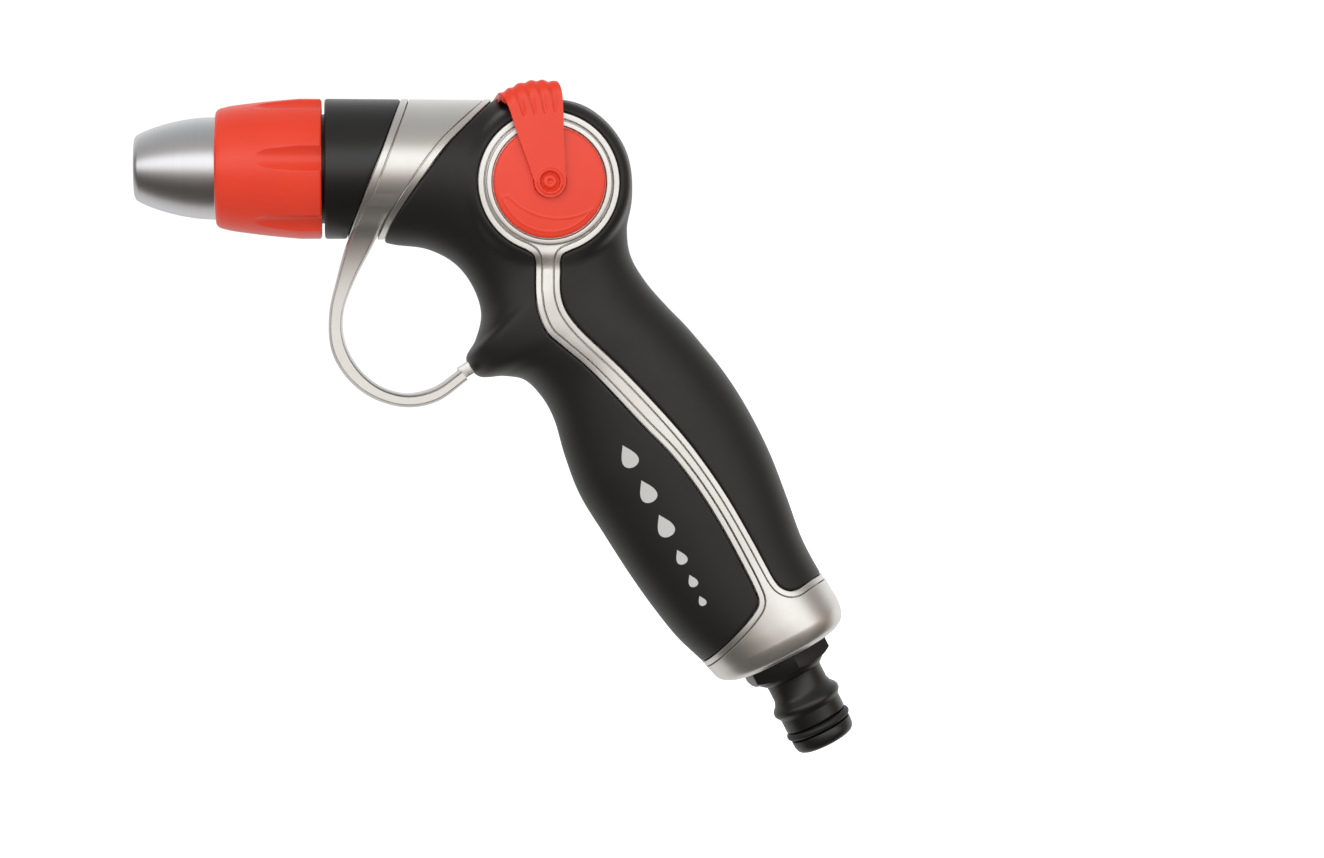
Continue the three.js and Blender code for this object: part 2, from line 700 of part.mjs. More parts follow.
// Local Y of this group runs forwards along the barrel.
const barrel = new THREE.Group();
barrel.position.z = BARREL_RISE;
barrel.rotation.z = Math.PI / 2;
barrel.add(
  meshOf('nozzle_tip', nozzleTip(), ALUMINIUM),
  meshOf('adjusting_sleeve', adjustingSleeve(), RED),
  meshOf('thread_insert', threadInsert(), WHITE_ACETAL),
  meshOf('nozzle_seal', nozzleSeal(), SEAL_RUBBER),
  meshOf('barrel_tube', barrelTube(), BRASS),
  meshOf('barrel_seal', barrelSeal(), SEAL_RUBBER),
  meshOf('spray_stem', sprayStem(), STEEL),
);
gun.add(barrel);

// Local Y of this group runs down the waterway to the hose.
const inlet = new THREE.Group();
inlet.rotation.set(-Math.PI / 2, -WATERWAY_TILT, 0, 'YXZ');
inlet.add(
  meshOf('hose_nipple', hoseNipple(), BLACK_HARD),
  meshOf('nipple_seal', nippleSeal(), SEAL_RUBBER),
  meshOf('inlet_washer', inletWasher(), SEAL_RUBBER),
  meshOf('inlet_filter', inletFilter(), STEEL),
);
gun.add(inlet);

const group = new THREE.Group();
group.add(gun);

export default group;
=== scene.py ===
"""Pistol-grip water spray gun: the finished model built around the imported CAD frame.

Lengths in the classes are millimetres in the gun's own frame, which has the valve axis along Y
through its zero, the nozzle towards -X and +Z up. Bench.to_frame puts them into the CAD frame.
"""

import json
import logging
import math
from dataclasses import dataclass, field
from enum import Enum
from typing import Callable, Iterable, Sequence

import bpy
import numpy as np
from mathutils import Matrix, Vector


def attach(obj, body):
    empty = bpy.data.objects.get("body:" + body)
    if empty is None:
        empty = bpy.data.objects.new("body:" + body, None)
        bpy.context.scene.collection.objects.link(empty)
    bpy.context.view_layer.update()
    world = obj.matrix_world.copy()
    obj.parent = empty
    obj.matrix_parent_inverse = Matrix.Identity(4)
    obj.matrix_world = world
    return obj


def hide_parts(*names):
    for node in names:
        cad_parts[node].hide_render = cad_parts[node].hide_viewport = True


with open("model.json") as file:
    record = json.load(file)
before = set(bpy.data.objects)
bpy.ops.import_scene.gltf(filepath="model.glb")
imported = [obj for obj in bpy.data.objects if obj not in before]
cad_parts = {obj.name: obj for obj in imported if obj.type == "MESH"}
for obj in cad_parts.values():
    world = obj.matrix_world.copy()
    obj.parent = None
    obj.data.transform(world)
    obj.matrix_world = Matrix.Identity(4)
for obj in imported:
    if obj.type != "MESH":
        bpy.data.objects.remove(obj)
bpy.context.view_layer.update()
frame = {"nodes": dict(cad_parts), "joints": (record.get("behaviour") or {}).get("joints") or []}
LOG = logging.getLogger("spray_gun")

MM = 0.001
Pair = tuple[float, float]
VALVE = Vector(next(j["pos_m"] for j in frame["joints"] if j["name"] == "lever_turn"))
BARREL_RISE = 3.55
BARREL_R = 16.6
WATERWAY_TILT = math.radians(27.0)
DOWN = np.array([math.sin(WATERWAY_TILT), -math.cos(WATERWAY_TILT)])
ACROSS = np.array([math.cos(WATERWAY_TILT), math.sin(WATERWAY_TILT)])
# Small moves along and round the skin, over which its slopes are taken.
SKIN_STEP = (4e-4, 4e-3)
# Short moves that a border line's slide over the skin is made of.
SLIDE_STEPS = 4
# Spacing of the places on a border line that a cut edge may be moved to, and the furthest that
# its end on the mid-plane is moved.
TRIM_SPACING = 0.1
CORNER_REACH = 1.9
# Size of the bevel on a silver ribbon, and how much its middle stands above its edges.
CRISP = 0.14
RIBBON_CROWN = 0.02


class Side(Enum):
    """The two sides of the gun, by the sign of Y there."""

    LEFT = -1
    RIGHT = 1


class Body(Enum):
    """The CAD bodies that the pieces ride on."""

    GUN = "gun"
    LEVER = "lever"
    NOZZLE_SLIP = "nozzle_slip"
    NOZZLE_HEAD = "nozzle_head"


# ---- Finishes -------------------------------------------------------------------------------


def to_linear(colour: str) -> tuple[float, float, float, float]:
    """Turn an sRGB hex colour into linear light.

    Args:
        colour: Six hex digits, with or without a leading hash.

    Returns:
        Linear red, green and blue, with an alpha of one.
    """
    digits = colour.lstrip("#")
    channels = [int(digits[i : i + 2], 16) / 255 for i in (0, 2, 4)]
    linear = [c / 12.92 if c <= 0.04045 else ((c + 0.055) / 1.055) ** 2.4 for c in channels]
    return (linear[0], linear[1], linear[2], 1.0)


def add_node(
    tree: bpy.types.NodeTree,
    kind: str,
    inputs: dict[str | int, object] | None = None,
    links: dict[str | int, bpy.types.NodeSocket] | None = None,
    **settings: object,
) -> bpy.types.Node:
    """Add a node to a tree, with its settings, its socket values and its incoming links.

    Args:
        tree: The node tree that gets the node.
        kind: Blender's name of the node type.
        inputs: Socket values by socket name or number.
        links: Sockets that feed this node's inputs, by input name or number.
        **settings: Properties of the node itself.

    Returns:
        The new node.
    """
    node = tree.nodes.new(kind)
    for name, value in settings.items():
        setattr(node, name, value)
    for key, value in (inputs or {}).items():
        node.inputs[key].default_value = value
    for key, socket in (links or {}).items():
        tree.links.new(socket, node.inputs[key])
    return node


@dataclass(frozen=True)
class Finish:
    """A finish whose grain comes from two noises laid in the piece's own millimetres."""

    name: str
    colour: str
    shade: str
    roughness: float
    metallic: float = 0.0
    ior: float = 1.5
    specular: float = 0.5
    coat: float = 0.0
    coat_roughness: float = 0.1
    grain_mm: float = 0.35
    grain_depth_mm: float = 0.004
    mottle_mm: float = 9.0
    roughness_swing: float = 0.05
    stretch: tuple[float, float, float] = (1.0, 1.0, 1.0)

    def build(self) -> bpy.types.Material:
        """Make the material.

        Returns:
            The material, ready to go into a piece's slot.
        """
        material = bpy.data.materials.new(self.name)
        material.use_nodes = True
        tree = material.node_tree
        tree.nodes.clear()
        place = add_node(tree, "ShaderNodeTexCoord")
        turned = add_node(
            tree,
            "ShaderNodeMapping",
            inputs={"Scale": self.stretch},
            links={"Vector": place.outputs["Object"]},
        )
        grain, mottle = (
            add_node(
                tree,
                "ShaderNodeTexNoise",
                inputs={"Scale": 1.0 / (size_mm * MM), "Detail": octaves, "Roughness": 0.55},
                links={"Vector": turned.outputs["Vector"]},
            )
            for size_mm, octaves in ((self.grain_mm, 4.0), (self.mottle_mm, 2.0))
        )
        tint = add_node(
            tree,
            "ShaderNodeMix",
            data_type="RGBA",
            inputs={6: to_linear(self.colour), 7: to_linear(self.shade)},
            links={0: mottle.outputs["Fac"]},
        )
        dull = add_node(
            tree,
            "ShaderNodeMapRange",
            inputs={
                "From Min": 0.3,
                "From Max": 0.7,
                "To Min": self.roughness - self.roughness_swing,
                "To Max": self.roughness + self.roughness_swing,
            },
            links={"Value": grain.outputs["Fac"]},
        )
        bump = add_node(
            tree,
            "ShaderNodeBump",
            inputs={"Strength": 1.0, "Distance": self.grain_depth_mm * MM},
            links={"Height": grain.outputs["Fac"]},
        )
        shader = add_node(
            tree,
            "ShaderNodeBsdfPrincipled",
            inputs={
                "Metallic": self.metallic,
                "IOR": self.ior,
                "Specular IOR Level": self.specular,
                "Coat Weight": self.coat,
                "Coat Roughness": self.coat_roughness,
            },
            links={
                "Base Color": tint.outputs[2],
                "Roughness": dull.outputs["Result"],
                "Normal": bump.outputs["Normal"],
            },
        )
        add_node(
            tree, "ShaderNodeOutputMaterial", links={"Surface": shader.outputs["BSDF"]}
        )
        return material


# Satin silver lacquer on moulded ABS: a metal-like sheen with soft edges to its reflections and
# the faint orange peel of sprayed paint.
SATIN_SILVER_PAINTED_ABS = Finish(
    name="satin_silver_painted_abs",
    colour="E2E0DC",
    shade="D9D7D3",
    roughness=0.35,
    metallic=0.95,
    coat=0.15,
    coat_roughness=0.25,
    grain_mm=0.9,
    grain_depth_mm=0.001,
    roughness_swing=0.02,
)
# Overmoulded TPR: a nearly black, matt rubber whose spark-eroded tool grain spreads each
# highlight into a grey bloom.
OVERMOULDED_TPR = Finish(
    name="overmoulded_black_tpr",
    colour="201F1D",
    shade="1B1A18",
    roughness=0.44,
    ior=1.52,
    specular=0.36,
    grain_mm=0.4,
    grain_depth_mm=0.012,
)
# Black moulded ABS, a little shinier than the rubber, with fine tool texture.
MOULDED_BLACK_ABS = Finish(
    name="moulded_black_abs",
    colour="161615",
    shade="111110",
    roughness=0.34,
    ior=1.53,
    grain_mm=0.4,
    grain_depth_mm=0.008,
)
# Orange-red moulded ABS: saturated all through, satin, so its highlights turn pinkish.
MOULDED_RED_ABS = Finish(
    name="moulded_red_abs",
    colour="E93E20",
    shade="E2361B",
    roughness=0.35,
    ior=1.53,
    grain_mm=0.45,
    grain_depth_mm=0.006,
)
# Turned aluminium: fine rings left by the tool run round the tip and smear its reflections.
TURNED_ALUMINIUM = Finish(
    name="turned_aluminium",
    colour="DCDDDF",
    shade="D2D3D6",
    roughness=0.33,
    metallic=1.0,
    grain_mm=14.0,
    grain_depth_mm=0.0008,
    mottle_mm=20.0,
    roughness_swing=0.008,
    stretch=(60.0, 1.0, 1.0),
)
# Turned brass, bare and slightly dull.
TURNED_BRASS = Finish(
    name="turned_brass",
    colour="C9A75C",
    shade="B8964E",
    roughness=0.3,
    metallic=1.0,
    grain_mm=10.0,
    grain_depth_mm=0.01,
    stretch=(40.0, 1.0, 1.0),
)
# White acetal: waxy and slightly see-through looking, moulded smooth.
MOULDED_ACETAL = Finish(
    name="moulded_white_acetal",
    colour="E9E7E0",
    shade="E0DED6",
    roughness=0.38,
    ior=1.48,
)
# Moulded NBR seal rubber: black with a soft oily sheen.
MOULDED_NBR = Finish(
    name="moulded_nbr_rubber",
    colour="171717",
    shade="101010",
    roughness=0.5,
    ior=1.52,
    grain_mm=0.3,
)
# Pressed and turned stainless steel.
STAINLESS_STEEL = Finish(
    name="turned_stainless_steel",
    colour="B9BCC0",
    shade="ABAEB3",
    roughness=0.28,
    metallic=1.0,
    grain_mm=8.0,
    stretch=(1.0, 30.0, 1.0),
)
# Pale grey ink, pad-printed on the rubber.
PRINTED_GREY_INK = Finish(
    name="pad_printed_grey_ink",
    colour="C9C9C7",
    shade="C1C1BF",
    roughness=0.5,
    grain_mm=0.5,
)


class Palette:
    """Builds each finish once and hands out its material."""

    def __init__(self) -> None:
        """Start with no materials."""
        self._made: dict[str, bpy.types.Material] = {}

    def dress(self, piece: bpy.types.Object, finish: Finish) -> bpy.types.Object:
        """Give a piece one finish all over.

        Args:
            piece: The mesh object.
            finish: Its finish.

        Returns:
            The same piece.
        """
        if finish.name not in self._made:
            self._made[finish.name] = finish.build()
        piece.data.materials.clear()
        piece.data.materials.append(self._made[finish.name])
        return piece


PALETTE = Palette()


# ---- Hand operations ------------------------------------------------------------------------


class Bench:
    """The hand operations that every sub-assembly uses."""

    @staticmethod
    def activate(piece: bpy.types.Object) -> None:
        """Select one piece alone and make it active.

        Args:
            piece: The object to work on.
        """
        bpy.ops.object.select_all(action="DESELECT")
        piece.select_set(True)
        bpy.context.view_layer.objects.active = piece

    @staticmethod
    def to_frame(piece: bpy.types.Object) -> bpy.types.Object:
        """Move a mesh modelled in gun millimetres into the CAD frame in metres.

        Args:
            piece: The object, whose mesh is in millimetres from the valve axis.

        Returns:
            The same piece, unturned and unscaled at the origin.
        """
        piece.data.transform(Matrix.Translation(VALVE) @ Matrix.Scale(MM, 4))
        return piece

    @staticmethod
    def modify(piece: bpy.types.Object, kind: str, **settings: object) -> None:
        """Add a modifier and apply it.

        Args:
            piece: The object to change.
            kind: Blender's modifier type.
            **settings: The modifier's properties.
        """
        Bench.activate(piece)
        bpy.ops.object.modifier_add(type=kind)
        modifier = piece.modifiers[-1]
        for name, value in settings.items():
            setattr(modifier, name, value)
        bpy.ops.object.modifier_apply(modifier=modifier.name)

    @staticmethod
    def soften(
        piece: bpy.types.Object, width: float, segments: int, angle: float = 28.0
    ) -> None:
        """Round a piece's sharp edges.

        Args:
            piece: The object, still in millimetres.
            width: Bevel width in millimetres.
            segments: Steps in the rounding.
            angle: Edges sharper than this many degrees are rounded.
        """
        Bench.modify(
            piece,
            "BEVEL",
            width=width,
            segments=segments,
            limit_method="ANGLE",
            angle_limit=math.radians(angle),
            use_clamp_overlap=True,
            miter_outer="MITER_ARC",
        )

    @staticmethod
    def smooth(piece: bpy.types.Object, angle: float) -> None:
        """Shade a piece smooth, keeping edges sharper than an angle.

        Args:
            piece: The object.
            angle: Degrees between faces past which an edge stays sharp.
        """
        Bench.activate(piece)
        bpy.ops.object.shade_smooth_by_angle(angle=math.radians(angle))

    @staticmethod
    def weld(piece: bpy.types.Object, distance: float = 0.002) -> None:
        """Merge doubled vertices and turn all faces outwards.

        Args:
            piece: The object, in millimetres.
            distance: Merge distance in millimetres.
        """
        Bench.activate(piece)
        bpy.ops.object.mode_set(mode="EDIT")
        bpy.ops.mesh.select_all(action="SELECT")
        bpy.ops.mesh.remove_doubles(threshold=distance)
        bpy.ops.mesh.normals_make_consistent(inside=False)
        bpy.ops.object.mode_set(mode="OBJECT")

    @staticmethod
    def join(name: str, parts: Sequence[bpy.types.Object]) -> bpy.types.Object:
        """Join several meshes into one piece.

        Args:
            name: The piece's name.
            parts: The meshes.

        Returns:
            The joined piece.
        """
        Bench.activate(parts[0])
        for part in parts[1:]:
            part.select_set(True)
        if len(parts) > 1:
            bpy.ops.object.join()
        parts[0].name = name
        return parts[0]

    @staticmethod
    def combine(piece: bpy.types.Object, tool: bpy.types.Object, operation: str) -> None:
        """Cut, join or intersect a piece with a tool mesh, and clear the tool away.

        Args:
            piece: The object to change.
            tool: The other object.
            operation: DIFFERENCE, UNION or INTERSECT.
        """
        Bench.modify(piece, "BOOLEAN", object=tool, operation=operation, solver="EXACT")
        bpy.data.objects.remove(tool)

    @staticmethod
    def turn(
        name: str,
        profile: Sequence[Pair],
        facets: int,
        closed: bool = False,
    ) -> bpy.types.Object:
        """Turn a profile about +Z: a circle is added, then extruded and scaled step by step.

        Args:
            name: The piece's name.
            profile: (distance along the axis, radius) pairs in millimetres.
            facets: Sides of the circle.
            closed: True if the profile is a loop, as a ring's is.

        Returns:
            The piece, in millimetres, with its axis along Z.
        """
        bpy.ops.object.select_all(action="DESELECT")
        along, radius = profile[0]
        bpy.ops.mesh.primitive_circle_add(
            vertices=facets,
            radius=radius,
            fill_type="NOTHING" if closed else "NGON",
            location=(0, 0, 0),
        )
        piece = bpy.context.object
        piece.name = name
        bpy.ops.object.mode_set(mode="EDIT")
        bpy.ops.mesh.select_all(action="SELECT")
        bpy.ops.transform.translate(value=(0, 0, along))
        steps = list(profile[1:]) + ([profile[0]] if closed else [])
        for next_along, next_radius in steps:
            bpy.ops.mesh.extrude_region_move(
                TRANSFORM_OT_translate={"value": (0, 0, next_along - along)}
            )
            scale = next_radius / radius
            bpy.ops.transform.resize(value=(scale, scale, 1), center_override=(0, 0, next_along))
            along, radius = next_along, next_radius
        bpy.ops.object.mode_set(mode="OBJECT")
        Bench.weld(piece)
        return piece

    @staticmethod
    def aim(piece: bpy.types.Object, axis: Sequence[float], origin: Sequence[float]) -> None:
        """Stand a piece made along +Z on another axis.

        Args:
            piece: The object, in millimetres.
            axis: Direction that +Z goes to.
            origin: Where its zero goes.
        """
        turn = Vector((0, 0, 1)).rotation_difference(Vector(axis)).to_matrix().to_4x4()
        piece.data.transform(Matrix.Translation(Vector(origin)) @ turn)

    @staticmethod
    def lay_grid(name: str, places: np.ndarray, wrap: bool = False) -> bpy.types.Object:
        """Add a grid primitive and lay its vertices on a surface.

        Args:
            name: The piece's name.
            places: Array of rows by columns by three, in millimetres.
            wrap: True if the last column meets the first.

        Returns:
            The piece, in millimetres.
        """
        rows, columns = places.shape[:2]
        bpy.ops.object.select_all(action="DESELECT")
        bpy.ops.mesh.primitive_grid_add(
            x_subdivisions=columns - 1, y_subdivisions=rows - 1, size=2, location=(0, 0, 0)
        )
        piece = bpy.context.object
        piece.name = name
        flat = np.zeros(len(piece.data.vertices) * 3)
        piece.data.vertices.foreach_get("co", flat)
        flat = flat.reshape(-1, 3)
        column = np.rint((flat[:, 0] + 1) / 2 * (columns - 1)).astype(int)
        row = np.rint((flat[:, 1] + 1) / 2 * (rows - 1)).astype(int)
        piece.data.vertices.foreach_set("co", places[row, column].reshape(-1))
        piece.data.update()
        if wrap:
            Bench.weld(piece, 0.0005)
        return piece

    @staticmethod
    def face_outwards(piece: bpy.types.Object) -> None:
        """Turn a left-side sheet so that it faces away from the mid-plane.

        Args:
            piece: The sheet.
        """
        lean = sum(polygon.normal.y * polygon.area for polygon in piece.data.polygons)
        if lean > 0:
            piece.data.flip_normals()

    @staticmethod
    def mirror(piece: bpy.types.Object, angle: float) -> None:
        """Turn a left-side sheet outwards, mirror it to the right side and shade it smooth.

        Args:
            piece: The sheet, which ends on the mid-plane.
            angle: Degrees between faces past which an edge stays sharp.
        """
        Bench.face_outwards(piece)
        Bench.modify(
            piece, "MIRROR", use_axis=(False, True, False), use_clip=True, merge_threshold=0.001
        )
        Bench.smooth(piece, angle)

    @staticmethod
    def on_barrel(piece: bpy.types.Object) -> None:
        """Stand a turned piece on the barrel, pointing forwards."""
        Bench.aim(piece, (-1, 0, 0), (0, 0, BARREL_RISE))

    @staticmethod
    def finish(
        piece: bpy.types.Object,
        look: Finish,
        body: Body,
        slot: str,
        replaces: Iterable[str] = (),
    ) -> bpy.types.Object:
        """Place, dress and hang up a finished piece.

        Args:
            piece: The object, in gun millimetres.
            look: Its finish.
            body: The CAD body that it rides on.
            slot: The record's material slot; not used.
            replaces: CAD nodes that it stands for.

        Returns:
            The finished piece.
        """
        Bench.to_frame(piece)
        PALETTE.dress(piece, look)
        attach(piece, body.value)
        if replaces:
            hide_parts(*replaces)
        LOG.info("%s: %d faces on %s", piece.name, len(piece.data.polygons), body.value)
        return piece


# ---- Curves ---------------------------------------------------------------------------------


def catmull(points: Sequence[Sequence[float]], samples: int) -> np.ndarray:
    """Run a centripetal Catmull-Rom curve through points.

    Args:
        points: The points, of any dimension.
        samples: Samples on each span.

    Returns:
        The curve's samples, with the last point included.
    """
    knots = np.asarray(points, float)
    padded = np.vstack([2 * knots[0] - knots[1], knots, 2 * knots[-1] - knots[-2]])
    spans = []
    t = np.linspace(0, 1, samples, endpoint=False)[:, None]
    for p0, p1, p2, p3 in zip(padded, padded[1:], padded[2:], padded[3:]):
        pairs = ((p0, p1), (p1, p2), (p2, p3))
        gaps = [max(np.sum((b - a) ** 2) ** 0.25, 1e-4) for a, b in pairs]
        start = (p1 - p0) / gaps[0] - (p2 - p0) / (gaps[0] + gaps[1]) + (p2 - p1) / gaps[1]
        end = (p2 - p1) / gaps[1] - (p3 - p1) / (gaps[1] + gaps[2]) + (p3 - p2) / gaps[2]
        start, end = start * gaps[1], end * gaps[1]
        cubic = (
            p1
            + start * t
            + (-3 * p1 + 3 * p2 - 2 * start - end) * t**2
            + (2 * p1 - 2 * p2 + start + end) * t**3
        )
        spans.append(cubic)
    return np.vstack([*spans, knots[-1:]])


def even(points: np.ndarray, count: int) -> np.ndarray:
    """Space points evenly along a polyline.

    Args:
        points: The polyline's corners.
        count: How many points to return.

    Returns:
        The evenly spaced points.
    """
    steps = np.linalg.norm(np.diff(points, axis=0), axis=1)
    run = np.concatenate([[0], np.cumsum(steps)])
    wanted = np.linspace(0, run[-1], count)
    return np.stack([np.interp(wanted, run, points[:, k]) for k in range(points.shape[1])], axis=1)


def ease(share: np.ndarray | float) -> np.ndarray | float:
    """Return a share from 0 to 1, eased in and out."""
    return share * share * (3 - 2 * share)


def length_of(points: np.ndarray) -> float:
    """Return a polyline's length."""
    return float(np.linalg.norm(np.diff(points, axis=0), axis=1).sum())


def inside(points: np.ndarray, outline: np.ndarray) -> np.ndarray:
    """Tell which points lie inside a closed outline.

    Args:
        points: Array of (x, z) points.
        outline: Array of the outline's (x, z) corners.

    Returns:
        One true or false for each point.
    """
    x, z = points[:, 0], points[:, 1]
    odd = np.zeros(len(points), bool)
    for (ax, az), (bx, bz) in zip(outline, np.roll(outline, -1, axis=0)):
        crosses = (az > z) != (bz > z)
        if abs(bz - az) > 1e-12:
            odd ^= crosses & (x < (bx - ax) * (z - az) / (bz - az) + ax)
    return odd


# ---- The gun's skin -------------------------------------------------------------------------


@dataclass
class GunSkin:
    """The smooth outer form of the gun, as a surface over (rib, angle round the rib).

    Each rib is (finger side x, z, back of the hand x, z, half width, squareness). Angle 0 is the
    back of the hand, a half turn is the finger side, and the left side lies between them.
    """

    barrel_ribs: tuple[tuple[float, ...], ...] = (
        (-52.3, -13.05, -52.3, 20.15, 16.6, 2.0), (-42.0, -13.05, -38.0, 20.15, 16.6, 2.0),
        (-36.0, -14.4, -26.0, 20.15, 16.6, 2.1), (-28.0, -15.5, -14.0, 20.15, 16.5, 2.2),
        (-21.5, -18.9, -2.0, 20.2, 16.3, 2.3), (-17.2, -24.4, 10.0, 18.0, 16.3, 2.4),
        (-15.2, -31.0, 18.6, 8.6, 16.3, 2.5), (-16.6, -37.3, 20.4, -3.0, 16.55, 2.5),
        (-18.8, -41.8, 19.7, -11.0, 16.65, 2.5), (-16.0, -45.8, 20.6, -17.0, 16.5, 2.5),
        (-9.8, -45.8, 24.0, -22.9, 16.3, 2.5),
    )
    handle_ribs: tuple[tuple[float, ...], ...] = (
        (39.4, -25.6, 13.0, 16.2, 2.5), (45.0, -23.7, 14.8, 16.1, 2.4),
        (51.0, -23.5, 16.3, 16.2, 2.4), (60.0, -25.2, 18.2, 16.4, 2.3),
        (70.0, -26.3, 19.2, 16.6, 2.3), (82.0, -25.4, 19.2, 16.6, 2.3),
        (94.0, -24.2, 18.0, 16.5, 2.3), (104.0, -22.7, 16.8, 16.4, 2.3),
        (112.0, -21.0, 16.9, 16.4, 2.3), (118.0, -18.9, 17.4, 16.4, 2.3),
        (122.0, -17.5, 17.6, 16.3, 2.3), (125.3, -16.4, 16.6, 15.3, 2.3),
        (126.5, -14.6, 14.9, 13.6, 2.3),
    )
    hub_half: float = 16.75
    hub_r: float = 19.5
    hub_edge: float = 3.2
    hub_fall: float = 5.0
    hub_cover: float = 6.0
    hub_fade: float = 0.16
    blend: float = 1.2
    samples: int = 60
    ribs: np.ndarray = field(init=False)
    grid_v: np.ndarray = field(init=False)

    def __post_init__(self) -> None:
        """Run smooth curves through the ribs."""
        handle = [
            (*(DOWN * s + ACROSS * front), *(DOWN * s + ACROSS * back), half, square)
            for s, front, back, half, square in self.handle_ribs
        ]
        ribs = np.array([*self.barrel_ribs, *handle], float)
        finger = catmull(ribs[:, 0:2], self.samples)
        back = catmull(ribs[:, 2:4], self.samples)
        section = catmull(ribs[:, 4:6], self.samples)
        self.ribs = np.hstack([finger, back, section])
        self.grid_v = np.linspace(0, 1, len(self.ribs))

    def rib(self, v: np.ndarray) -> np.ndarray:
        """Return the ribs at places v from 0 (barrel's front) to 1 (base)."""
        return np.stack([np.interp(v, self.grid_v, self.ribs[:, k]) for k in range(6)], axis=-1)

    def v_where(self, column: int, value: float, low: float, high: float = 1.0) -> float:
        """Find the place where one rib coordinate, projected as asked, passes a value.

        Args:
            column: 0 to 3 for finger x, finger z, back x, back z, or 4 and 5 for the finger
                side's and the back's distance down the waterway.
            value: The value to look for.
            low: Start of the search.
            high: End of the search.

        Returns:
            The place along the gun.
        """
        if column == 4:
            track = self.ribs[:, 0:2] @ DOWN
        elif column == 5:
            track = self.ribs[:, 2:4] @ DOWN
        else:
            track = self.ribs[:, column]
        keep = (self.grid_v >= low) & (self.grid_v <= high)
        v, track = self.grid_v[keep], track[keep] - value
        k = int(np.argmax(track[:-1] * track[1:] <= 0))
        order = np.argsort(track[k : k + 2])
        return float(np.interp(0, track[k : k + 2][order], v[k : k + 2][order]))

    def point(self, v: np.ndarray, phi: np.ndarray) -> np.ndarray:
        """Return points of the skin.

        Args:
            v: Places along the gun.
            phi: Angles round the rib.

        Returns:
            Array of points, in gun millimetres.
        """
        rib = self.rib(v)
        finger, back, half, square = rib[..., 0:2], rib[..., 2:4], rib[..., 4], rib[..., 5]
        cos, sin = np.cos(phi), np.sin(phi)
        radius = (np.abs(cos) ** square + np.abs(sin) ** square) ** (-1 / square)
        plane = (finger + back) / 2 + (back - finger) / 2 * (radius * cos)[..., None]
        width = self._with_hub(plane, half * radius * np.abs(sin), np.abs(sin))
        return np.stack([plane[..., 0], -np.sign(sin) * width, plane[..., 1]], axis=-1)

    def _with_hub(self, plane: np.ndarray, width: np.ndarray, rise: np.ndarray) -> np.ndarray:
        """Blend the round hub's side into the loft's half width.

        Args:
            plane: (x, z) of the points.
            width: The loft's half width at each.
            rise: Size of the sine of the rib angle, 0 at the silhouette.

        Returns:
            The half width with the hub blended in.
        """
        reach = np.hypot(plane[..., 0], plane[..., 1])
        past = np.clip(reach - (self.hub_r - self.hub_edge), 0, None)
        edge = np.sqrt(np.clip(self.hub_edge**2 - past**2, 0, None))
        fall = self.hub_fall * np.clip(past - self.hub_edge, 0, None)
        hub = self.hub_half - self.hub_edge + edge - fall
        mixed = 0.5 * (width + hub + np.sqrt((width - hub) ** 2 + self.blend**2))
        mixed = np.where(hub < width - self.hub_cover, width, mixed)
        return width + (mixed - width) * ease(np.clip(rise / self.hub_fade, 0, 1))

    def normal(self, v: np.ndarray, phi: np.ndarray) -> np.ndarray:
        """Return the skin's outward normals at (v, phi)."""
        dv, dphi = SKIN_STEP
        along = self.point(np.clip(v + dv, 0, 1), phi) - self.point(np.clip(v - dv, 0, 1), phi)
        around = self.point(v, phi + dphi) - self.point(v, phi - dphi)
        normal = np.cross(around, along)
        normal /= np.maximum(np.linalg.norm(normal, axis=-1, keepdims=True), 1e-12)
        return normal

    def locate(self, plane: np.ndarray) -> tuple[np.ndarray, np.ndarray]:
        """Find (v, phi) on the left side of side-view points.

        Args:
            plane: Array of (x, z) points inside the silhouette.

        Returns:
            Places along the gun and angles round it.
        """
        finger, back = self.ribs[:, 0:2], self.ribs[:, 2:4]
        middle, reach = (finger + back) / 2, (back - finger) / 2
        found_v, found_phi = [], []
        for target in plane:
            off = target - middle
            side = off[:, 0] * reach[:, 1] - off[:, 1] * reach[:, 0]
            share = np.sum(off * reach, axis=1) / np.sum(reach * reach, axis=1)
            turns = np.nonzero((side[:-1] * side[1:] <= 0) & (np.abs(share[:-1]) < 1.2))[0]
            k = turns[np.argmin(np.abs(share[turns]))]
            part = side[k] / (side[k] - side[k + 1]) if side[k] != side[k + 1] else 0.0
            c = float(np.clip(share[k] + part * (share[k + 1] - share[k]), -0.9999, 0.9999))
            v = self.grid_v[k] + part * (self.grid_v[k + 1] - self.grid_v[k])
            square = float(np.interp(v, self.grid_v, self.ribs[:, 5]))
            found_v.append(v)
            found_phi.append(math.atan2((1 - abs(c) ** square) ** (1 / square), c))
        return np.array(found_v), np.array(found_phi)


SKIN = GunSkin()


